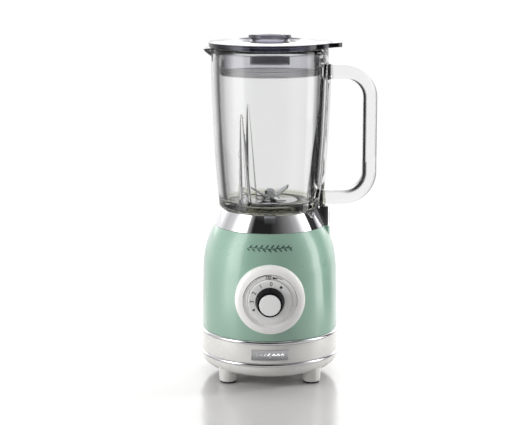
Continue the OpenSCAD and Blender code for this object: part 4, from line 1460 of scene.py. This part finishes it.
@dataclass
class Jug:
    """The glass jug with its handle, spout and ribs, and what closes its foot."""

    nodes: dict[str, Piece]
    foot: float = 197.2
    rim: float = 382.0
    neck_foot: float = 186.0
    neck_radius: float = 43.0
    neck_bore: float = 36.0
    floor: float = 206.0
    wall: float = 8.5
    handle_reach: float = 115.1
    handle_top: float = 354.9
    handle_bottom: float = 209.5
    handle_bend: float = 30.0
    handle_thick: float = 16.0
    handle_width: float = 23.0
    handle_round: float = 6.0
    rib_top: float = 312.0
    rib_angles: tuple[float, ...] = (-2.0, 118.0, 238.0)
    spout_reach: float = 76.2
    spout_blend: float = 8.0

    def build(self) -> None:
        """Model and dress the jug."""
        glass = self.build_wall()
        self.pull_spout(glass)
        combine(glass, Shape.ADD, self.build_handle(), self.build_web(), *self.build_ribs())
        apply(
            glass, "BEVEL", width=1.2 * MM, segments=3, limit_method="ANGLE", angle_limit=math.radians(48.0)
        )
        hand_over(smooth(clean(glass), 50.0), GLASS, "jug", ["jug_glass"])
        ring = softened(self.nodes["jug_base_ring"], "screw_ring", 0.3)
        hand_over(ring, GREY, "jug", ["jug_base_ring"])
        for node, name, finish, slot in (
            ("jug_seal", "foot_seal", RUBBER, "rubber"),
            ("blade_carrier", "carrier_cup", STEEL, "steel"),
            ("blade_bush", "carrier_bush", BRASS, "brass"),
        ):
            hand_over(softened(self.nodes[node], name, 0.25), finish, "jug", [node])

    def build_wall(self) -> Piece:
        """The turned glass: outer wall, rolled rim, inner wall, heavy foot and threaded neck."""
        foot_round, rim, wall = 5.4, self.rim, self.wall
        outer = [(jug_radius(z), z) for z in [206.0 + (378.0 - 206.0) * i / 30 for i in range(31)]]
        inner = [(jug_radius(z) - wall, z) for z in [375.0 - (375.0 - 216.0) * i / 28 for i in range(29)]]
        turn = arc(jug_radius(self.foot + 8) - foot_round, self.foot + foot_round, foot_round, -90.0, 0.0, 6)
        lip = jug_radius(rim)
        inner_foot = arc(jug_radius(212.0) - wall - 6.0, self.floor + 6.0, 6.0, 0.0, -90.0, 6)
        outline = [(self.neck_bore, self.neck_foot), (self.neck_radius - 0.6, self.neck_foot)]
        for i in range(3):
            turn_height = self.neck_foot + 1.2 + 3.0 * i
            outline += [(self.neck_radius - 1.0, turn_height), (self.neck_radius, turn_height + 0.9)]
            outline += [(self.neck_radius, turn_height + 1.5), (self.neck_radius - 1.0, turn_height + 2.4)]
        outline += [(self.neck_radius - 0.8, self.foot), *turn, *outer]
        outline += arc(lip - 2.6, rim - 2.6, 2.6, 20.0, 90.0, 5)
        outline += [
            (lip - wall + 4.5, rim), (lip - wall + 2.4, rim - 1.4), (lip - wall + 0.6, rim - 4.4), *inner
        ]
        outline += [*inner_foot, (self.neck_bore + 0.6, self.floor), (self.neck_bore, self.floor - 0.6)]
        return lathe("glass_jug", [*outline, outline[0]], steps=160, flat=50.0)

    def pull_spout(self, glass: Piece) -> None:
        """Draw the rim out into a spout on the side away from the handle."""
        edge = -(jug_radius(self.rim) - 1.0) * MM
        mark(glass, lambda co: co.x < edge * 0.985 and co.z > (self.rim - 3.2) * MM)
        with editing(glass):
            bpy.ops.transform.translate(
                value=((jug_radius(self.rim) - self.spout_reach) * MM, 0.0, 0.0),
                use_proportional_edit=True,
                proportional_edit_falloff="SMOOTH",
                proportional_size=self.spout_blend * MM,
            )

    def build_handle(self) -> Piece:
        """The bar of the handle, flared where it is welded on."""
        bend_x = self.handle_reach - self.handle_bend
        high, low = self.handle_top - self.handle_bend, self.handle_bottom + self.handle_bend
        start_x, stop_x = 61.0, 53.5
        deselect_all()
        bpy.ops.mesh.primitive_plane_add(size=1.0)
        handle = bpy.context.object
        handle.name = "handle_bar"
        flares = ((0.0, 1.34), (5.0, 1.3), (7.0, 1.16), (9.5, 1.06), (13.0, 1.0))
        with editing(handle):
            bpy.ops.mesh.select_all(action="SELECT")
            bpy.ops.transform.resize(value=(self.handle_thick * MM, self.handle_width * MM, 1.0))
            bpy.ops.mesh.bevel(offset=self.handle_round * MM, segments=6, affect="VERTICES")
            bpy.ops.transform.rotate(value=math.pi / 2, orient_axis="Y", center_override=(0.0, 0.0, 0.0))
            bpy.ops.transform.translate(value=(start_x * MM, 0.0, self.handle_top * MM))
            bpy.ops.transform.resize(
                value=(1.0, flares[0][1], flares[0][1]), center_override=(
                    start_x * MM, 0.0, self.handle_top * MM
                )
            )
            self.run_straight(start_x, bend_x, self.handle_top, flares)
            turn = {"steps": 18, "angle": math.pi / 2, "axis": (0.0, -1.0, 0.0)}
            bpy.ops.mesh.spin(center=(bend_x * MM, 0.0, high * MM), **turn)
            for _ in range(8):
                bpy.ops.mesh.extrude_region_move(
                    TRANSFORM_OT_translate={"value": (0.0, 0.0, (low - high) / 8 * MM)}
                )
            bpy.ops.mesh.spin(center=(bend_x * MM, 0.0, low * MM), **turn)
            back = tuple((stop, share) for stop, share in reversed(flares))
            self.run_back(bend_x, stop_x, self.handle_bottom, back)
        return clean(handle)

    def run_straight(
        self, start: float, stop: float, height: float, flares: Sequence[tuple[float, float]]
    ) -> None:
        """Extrude the selected section outwards through its flare and on to the bend."""
        for (here, size), (there, next_size) in zip(flares, flares[1:]):
            step = (there - here) * MM
            bpy.ops.mesh.extrude_region_move(TRANSFORM_OT_translate={"value": (step, 0.0, 0.0)})
            ratio = next_size / size
            centre = ((start + there) * MM, 0.0, height * MM)
            bpy.ops.transform.resize(value=(1.0, ratio, ratio), center_override=centre)
        rest = (stop - start - flares[-1][0]) * MM
        bpy.ops.mesh.extrude_region_move(TRANSFORM_OT_translate={"value": (rest, 0.0, 0.0)})

    def run_back(
        self, start: float, stop: float, height: float, flares: Sequence[tuple[float, float]]
    ) -> None:
        """Extrude the selected section inwards to the weld and through its flare."""
        rest = (stop + flares[0][0] - start) * MM
        bpy.ops.mesh.extrude_region_move(TRANSFORM_OT_translate={"value": (rest, 0.0, 0.0)})
        for (here, size), (there, next_size) in zip(flares, flares[1:]):
            bpy.ops.mesh.extrude_region_move(
                TRANSFORM_OT_translate={"value": ((there - here) * MM, 0.0, 0.0)}
            )
            ratio = next_size / size
            centre = ((stop + there) * MM, 0.0, height * MM)
            bpy.ops.transform.resize(value=(1.0, ratio, ratio), center_override=centre)

    def build_web(self) -> Piece:
        """The thin web down the outside of the wall, from one end of the handle to the other."""
        heights = [self.handle_bottom + (self.handle_top - self.handle_bottom) * i / 10 for i in range(11)]
        outline = [(jug_radius(z) - 2.0, z) for z in heights] + [
            (jug_radius(z) + 3.0, z) for z in reversed(heights)
        ]
        web = draw("wall_web", [Vector((r, -3.5, z)) * MM for r, z in [*outline, outline[0]]])
        with editing(web):
            weld_all()
            bpy.ops.mesh.edge_face_add()
            bpy.ops.mesh.extrude_region_move(TRANSFORM_OT_translate={"value": (0.0, 7.0 * MM, 0.0)})
        return clean(web)

    def build_ribs(self) -> list[Piece]:
        """Three spires up the inside of the wall, which break up the whirl."""
        outline = [
            (0.0, 0.0), (7.4, 0.0), (6.6, 12.0), (5.2, 40.0), (3.2, 76.0), (1.6, 101.0), (0.7, 107.0),
            (0.0, 108.0)
        ]
        rib = lathe("rib", outline, steps=28)
        lean = math.atan2(8.0, self.rib_top - self.floor)
        with editing(rib):
            bpy.ops.mesh.select_all(action="SELECT")
            bpy.ops.transform.rotate(value=-lean, orient_axis="Y", center_override=(0.0, 0.0, 0.0))
            bpy.ops.transform.translate(value=(49.8 * MM, 0.0, (self.floor - 1.0) * MM))
        ribs = [turned_copy(rib, angle) for angle in self.rib_angles]
        bpy.data.objects.remove(rib)
        return ribs


@dataclass
class BladeSet:
    """The blades, their shaft, nut and washer, and the coupling under the jug."""

    nodes: dict[str, Piece]

    def build(self) -> None:
        """Dress the rounded copies of the turning pieces."""
        for node, name, finish, slot, width in (
            ("lower_blades", "lower_blade_pair", BLADE, "steel", 0.35),
            ("upper_blades", "upper_blade_pair", BLADE, "steel", 0.35),
            ("blade_nut", "cap_nut", STEEL, "steel", 0.3),
            ("thrust_washer", "blade_washer", STEEL, "steel", 0.15),
            ("blade_shaft", "blade_spindle", STEEL, "steel", 0.3),
            ("driven_coupling", "jug_socket", BLACK, "black_plastic", 0.3),
        ):
            hand_over(softened(self.nodes[node], name, width), finish, "blades", [node])


# ---- Lid ----


@dataclass
class Lid:
    """The smoked lid with its thumb tab, its clear seal and the filler cap."""

    radius: float = 70.0
    low: float = 382.6
    high: float = 388.6
    plug_radius: float = 56.3
    plug_foot: float = 352.2
    filler_radius: float = 20.8
    filler_foot: float = 366.0
    tab_reach: float = 82.3
    tab_half: float = 7.0
    tab_root: float = 61.0
    tab_root_half: float = 27.0
    cap_radius: float = 24.6
    cap_top: float = 400.0

    def build(self) -> None:
        """Model and dress the lid, its seal and its cap."""
        self.build_lid()
        self.build_seal()
        self.build_cap()

    def build_lid(self) -> None:
        """The lid, a dish with a hollow plug and a chimney, and the tab on its rim."""
        plug, foot, filler = self.plug_radius, self.plug_foot, self.filler_radius
        corners = [
            (filler, self.filler_foot, 0.4),
            (filler + 2, self.filler_foot, 0.4),
            (filler + 2, 384.4, 1.0),
            (plug - 3.8, 385.6, 1.5),
            (plug - 3.8, foot + 1, 0.3),
            (plug - 1.3, foot + 1),
            (plug - 1.3, foot + 9),
            (plug, foot + 9, 0.3),
            (plug, self.low, 0.5),
            (self.radius, self.low, 0.9),
            (self.radius, self.high, 0.9),
            (43.0, 390.6, 0.8),
            (38.5, 388.4, 1.0),
            (filler + 3, 388.0, 0.3),
            (filler + 2, 389.6, 0.3),
            (filler, 389.6, 0.3),
        ]
        lid = lathe("smoked_lid", rounded(corners, facets=5), steps=176)
        tab = block(
            "thumb_tab", (self.tab_root, -1.0, self.low + 0.2), (self.tab_reach, 1.0, self.high - 0.4)
        )
        outer, half = (self.tab_reach - 1.0) * MM, self.tab_half
        for inside, scale in ((True, self.tab_root_half), (False, half)):
            mark(tab, (lambda co: co.x < outer) if inside else (lambda co: co.x > outer))
            with editing(tab):
                centre = (0.0, 0.0, self.low * MM)
                bpy.ops.transform.resize(value=(1.0, scale, 1.0), center_override=centre)
        apply(tab, "BEVEL", width=0.9 * MM, segments=3, limit_method="ANGLE", angle_limit=math.radians(60.0))
        combine(lid, Shape.ADD, tab)
        hand_over(smooth(lid, 38.0), SMOKED, "lid", ["lid"])

    def build_seal(self) -> None:
        """The clear seal, with three soft lips that grip the jug."""
        r, z = self.plug_radius - 1.2, self.plug_foot
        corners: list[Sequence[float]] = [(r - 2.4, z), (r + 1.6, z, 0.4)]
        for lip in (z + 1.2, z + 4.1, z + 7.0):
            corners += [(r + 1.6, lip, 0.2), (r + 3.0, lip + 0.45, 0.25)]
            corners += [(r + 3.0, lip + 1.05, 0.25), (r + 1.6, lip + 1.5, 0.2)]
        corners += [(r + 1.6, z + 8.9), (r, z + 8.9), (r, z + 0.9), (r - 2.4, z + 0.9)]
        seal = lathe("three_lip_seal", rounded(corners, facets=3), steps=144)
        hand_over(seal, SILICONE, "lid", ["lid_seal"])

    def build_cap(self) -> None:
        """The filler cap, a stopper with a flared edge under a low dome."""
        neck, r, top = self.filler_radius - 0.5, self.cap_radius, self.cap_top
        dome = [(r * share, top - 3.0 * share**2) for share in (0.9, 0.75, 0.6, 0.45, 0.3, 0.15, 0.0)]
        foot = self.filler_foot + 2.0
        corners = [
            (0.0, 394.8),
            (neck - 3.0, 394.2, 1.0),
            (neck - 2.0, 393.0, 0.5),
            (neck - 2.0, foot, 0.5),
            (neck, foot, 0.5),
            (neck, 390.0, 0.5),
            (neck + 1.0, 391.2, 0.5),
            (r - 0.6, 392.8, 0.8),
            (r, 394.0, 0.6),
            (r - 0.6, top - 3.0, 0.8),
            *dome,
        ]
        cap = lathe("filler_stopper", rounded(corners, False, 4), steps=144)
        hand_over(cap, CAP_SMOKED, "cap", ["filler_cap"])


# ---- Works ----


@dataclass
class Works:
    """The motor, couplings, switches and wiring, most of them inside the base."""

    nodes: dict[str, Piece]
    record: dict
    drive_coupling_edge: float = 0.35

    def build(self) -> None:
        """Round what shows when the jug is off, and dress every other CAD node."""
        coupling = softened(self.nodes["drive_coupling"], "drive_star", self.drive_coupling_edge)
        hand_over(coupling, RUBBER, "rotor", ["drive_coupling"])
        plunger = softened(self.nodes["interlock_plunger"], "interlock_pin", 0.4)
        hand_over(plunger, WHITE, "interlock", ["interlock_plunger"])
        special = {"commutator": COPPER, "field_coils": WINDING, "armature_winding": WINDING}
        slots = {part["node"]: part["material_slot"] for part in self.record["subparts"]}
        for name, node in self.nodes.items():
            if node.hide_render:
                continue
            finish = special.get(name) or SLOT_FINISH[slots[name]]
            for place in node.material_slots:
                place.material = finish.material()
            LOG.info("%s: carried over from the CAD, %s", name, finish.name)


# ---- Studio ----


@dataclass
class Studio:
    """The camera, the pale floor, the white surround and the soft lights."""

    image_width: int = 529
    focal_pixels: float = 1473.86
    camera_place: Place = (-0.0061, -1.6868, 0.5197)
    camera_tilt: float = 78.937
    floor_radius: float = 1.6
    horizon: float = 2.9
    brightest: float = 4.0
    floor_share: float = 0.8
    ceiling: float = 0.15
    fill: float = 0.45
    floor_white: Colour = (0.50, 0.493, 0.49)
    floor_gloss: tuple[float, float] = (0.14, 0.17)
    floor_fade: tuple[float, float] = (0.45, 0.8)
    card_fade: tuple[float, float] = (0.16, 0.28)
    ceiling_heights: tuple[float, float] = (0.62, 0.85)
    horizon_height: float = 0.28
    horizon_fade: tuple[float, float] = (0.15, 0.19)
    horizon_angles: tuple[float, float] = (125.0, 145.0)
    cloth_heights: tuple[float, float] = (0.5, 0.7)
    cloth_top: float = 0.8
    surround: Sequence[tuple[float, float]] = (
        (-180, 0.28),
        (-128, 0.28),
        (-110, 0.16),
        (-92, 0.20),
        (-84, 0.32),
        (-72, 0.90),
        (-56, 0.90),
        (-48, 0.10),
        (-38, 0.005),
        (2, 0.005),
        (20, 0.02),
        (48, 0.07),
        (66, 0.14),
        (76, 0.30),
        (82, 1.00),
        (94, 1.00),
        (98, 0.01),
        (116, 0.01),
        (130, 0.30),
        (180, 0.30),
    )
    backcloth: Sequence[tuple[float, float]] = (
        (-180, 1.00),
        (-168, 1.00),
        (-158, 0.60),
        (-146, 0.35),
        (-136, 0.05),
        (-100, 0.03),
        (-92, 0.50),
        (-60, 0.80),
        (-30, 0.30),
        (30, 0.30),
        (60, 0.60),
        (78, 0.25),
        (92, 0.02),
        (156, 0.02),
        (166, 1.00),
        (180, 1.00),
    )

    def build(self) -> None:
        """Set up everything round the object."""
        bpy.context.scene.view_settings.view_transform = "Standard"
        self.build_camera()
        self.build_surround()
        self.build_floor()
        self.build_lights()

    def build_camera(self) -> None:
        """The camera, in front of the object and a little above it."""
        deselect_all()
        tilt = (math.radians(self.camera_tilt), 0.0, 0.0)
        bpy.ops.object.camera_add(location=self.camera_place, rotation=tilt)
        camera = bpy.context.object
        camera.data.sensor_fit = "HORIZONTAL"
        camera.data.sensor_width = 36.0
        camera.data.lens = self.focal_pixels / self.image_width * camera.data.sensor_width
        camera.data.clip_start, camera.data.clip_end = 0.1, 60.0
        bpy.context.scene.camera = camera

    def build_surround(self) -> None:
        """A surround that looks white, with darker cards beside the camera for gloss and glass to show."""
        world = bpy.data.worlds.new("studio_surround")
        bpy.context.scene.world = world
        world.use_nodes = True
        world.cycles.sampling_method = "NONE"
        graph = Graph(world.node_tree)
        split = graph.add("SeparateXYZ", {0: graph.add("TexCoord").outputs["Generated"]})
        x, y, z = split.outputs
        turn, around = self.bearing(graph, x, y)
        level = graph.math("MULTIPLY", self.ramp(graph, around, self.surround), self.brightest)
        level = graph.blend(graph.remap(z, *self.ceiling_heights, 0.0, 1.0), level, (self.ceiling,) * 3)
        first, last = (math.radians(angle) for angle in self.horizon_angles)
        behind = graph.remap(graph.math("ABSOLUTE", turn), first, last, 0.0, 1.0)
        off = graph.math("ABSOLUTE", graph.math("SUBTRACT", z, self.horizon_height))
        band = graph.remap(off, *self.horizon_fade, 1.0, 0.0)
        glossy = graph.blend(graph.math("MULTIPLY", band, behind), level, (self.horizon,) * 3)
        high = graph.remap(z, *self.cloth_heights, 0.0, 1.0)
        through = graph.blend(high, self.ramp(graph, around, self.backcloth), (self.cloth_top,) * 3)
        path = graph.add("LightPath")
        seen = graph.blend(path.outputs["Is Glossy Ray"], (self.fill,) * 3, glossy)
        seen = graph.blend(path.outputs["Is Transmission Ray"], seen, through)
        shown = graph.blend(path.outputs["Is Camera Ray"], seen, (1.0, 1.0, 1.0))
        backdrop = graph.add("Background", {"Color": shown, "Strength": 1.0})
        graph.add("OutputWorld", {"Surface": backdrop.outputs[0]})

    def bearing(
        self, graph: Graph, x: object, y: object
    ) -> tuple[bpy.types.NodeSocket, bpy.types.NodeSocket]:
        """Which way a place or direction lies from the drive axis, from the camera's side.

        Args:
            graph: The nodes to add to.
            x: Its first coordinate.
            y: Its second coordinate.

        Returns:
            The azimuth in radians, and how far round that is, from 0 to 1.
        """
        turn = graph.math("ARCTAN2", x, graph.math("MULTIPLY", y, -1.0))
        return turn, graph.remap(turn, -math.pi, math.pi, 0.0, 1.0)

    def ramp(self, graph: Graph, share: object, stops: Sequence[tuple[float, float]]) -> bpy.types.NodeSocket:
        """How bright the surround is, by direction.

        Args:
            graph: The surround's nodes.
            share: How far round the direction lies, from 0 to 1.
            stops: Azimuth in degrees and brightness of each stop.

        Returns:
            The brightness, from 0 to 1.
        """
        node = graph.add("ValToRGB", {0: share})
        elements = node.color_ramp.elements
        for degrees, level in stops[1:-1]:
            elements.new((degrees + 180.0) / 360.0).color = (level, level, level, 1.0)
        for element, (_, level) in zip((elements[0], elements[-1]), (stops[0], stops[-1])):
            element.color = (level, level, level, 1.0)
        return node.outputs[0]

    def build_floor(self) -> None:
        """A plain pale floor that fades into the surround."""
        deselect_all()
        bpy.ops.mesh.primitive_circle_add(vertices=96, radius=self.floor_radius, fill_type="NGON")
        floor = bpy.context.object
        floor.name = "studio_floor"
        with editing(floor, "FACE"):
            bpy.ops.mesh.select_all(action="SELECT")
            bpy.ops.mesh.inset(thickness=self.floor_radius * 0.5)
        material = bpy.data.materials.new("pale_floor")
        material.use_nodes = True
        graph = Graph(material.node_tree)
        where = graph.add("TexCoord").outputs["Object"]
        away = graph.add("VectorMath", {0: where}, operation="LENGTH").outputs["Value"]
        soft = graph.noise(where, 3.0, 2.0)
        darker = tuple(c * 0.99 for c in self.floor_white)
        shade = graph.blend(graph.remap(soft, 0.3, 0.7, 0.0, 1.0), darker, self.floor_white)
        rough = graph.remap(soft, 0.3, 0.7, *self.floor_gloss)
        board = graph.add("BsdfPrincipled", {"Base Color": shade, "Roughness": rough})
        glow = graph.add("Emission", {"Strength": 1.0})
        fade = graph.remap(away, *(self.floor_radius * share for share in self.floor_fade), 0.0, 1.0)
        mixed = graph.add("MixShader", {0: fade, 1: board.outputs[0], 2: glow.outputs[0]})
        x, y, _ = graph.add("SeparateXYZ", {0: where}).outputs
        _, around = self.bearing(graph, x, y)
        path = graph.add("LightPath")
        bright = graph.math(
            "MULTIPLY", self.ramp(graph, around, self.surround), self.brightest * self.floor_share
        )
        bright = graph.blend(
            path.outputs["Is Transmission Ray"], bright, self.ramp(graph, around, self.backcloth)
        )
        cards = graph.add("Emission", {"Color": bright, "Strength": 1.0})
        bent = graph.math("MAXIMUM", path.outputs["Is Transmission Ray"], path.outputs["Is Glossy Ray"])
        beyond = graph.remap(away, *(self.floor_radius * share for share in self.card_fade), 0.0, 1.0)
        carded = graph.math("MULTIPLY", bent, beyond)
        shown = graph.add("MixShader", {0: carded, 1: mixed.outputs[0], 2: cards.outputs[0]})
        graph.add("OutputMaterial", {"Surface": shown.outputs[0]})
        floor.data.materials.append(material)

    def build_lights(self) -> None:
        """Soft boxes at the left, over and behind the object, and a narrow strip at the right."""
        target = Vector((0.0, 0.0, 0.17))
        for name, azimuth, elevation, distance, size, power in (
            ("left_box", -72.0, 14.0, 1.5, (0.5, 1.1), 17.0),
            ("right_strip", 100.0, 12.0, 1.5, (0.3, 1.2), 22.0),
            ("top_box", 180.0, 82.0, 1.6, (1.4, 1.4), 13.0),
            ("back_box", 165.0, 38.0, 1.9, (1.6, 0.8), 10.0),
        ):
            turn, rise = math.radians(azimuth), math.radians(elevation)
            away = Vector((math.sin(turn) * math.cos(rise), -math.cos(turn) * math.cos(rise), math.sin(rise)))
            deselect_all()
            bpy.ops.object.light_add(type="AREA", location=target + away * distance)
            light = bpy.context.object
            light.name = name
            light.rotation_euler = away.to_track_quat("Z", "Y").to_euler()
            light.data.shape = "RECTANGLE"
            light.data.size, light.data.size_y = size
            light.data.energy = power
            light.visible_camera = False
            light.visible_transmission = False
            light.visible_glossy = False


def main() -> None:
    """Build the object round its frame, then the studio."""
    logging.basicConfig(level=logging.INFO, format="%(message)s")
    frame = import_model()
    nodes = frame["nodes"]
    assemblies = (
        PowerBase(nodes), Dial(), Jug(nodes), BladeSet(nodes), Lid(), Works(nodes, frame["record"]), Studio()
    )
    for assembly in assemblies:
        assembly.build()


if __name__ == "__main__":
    main()
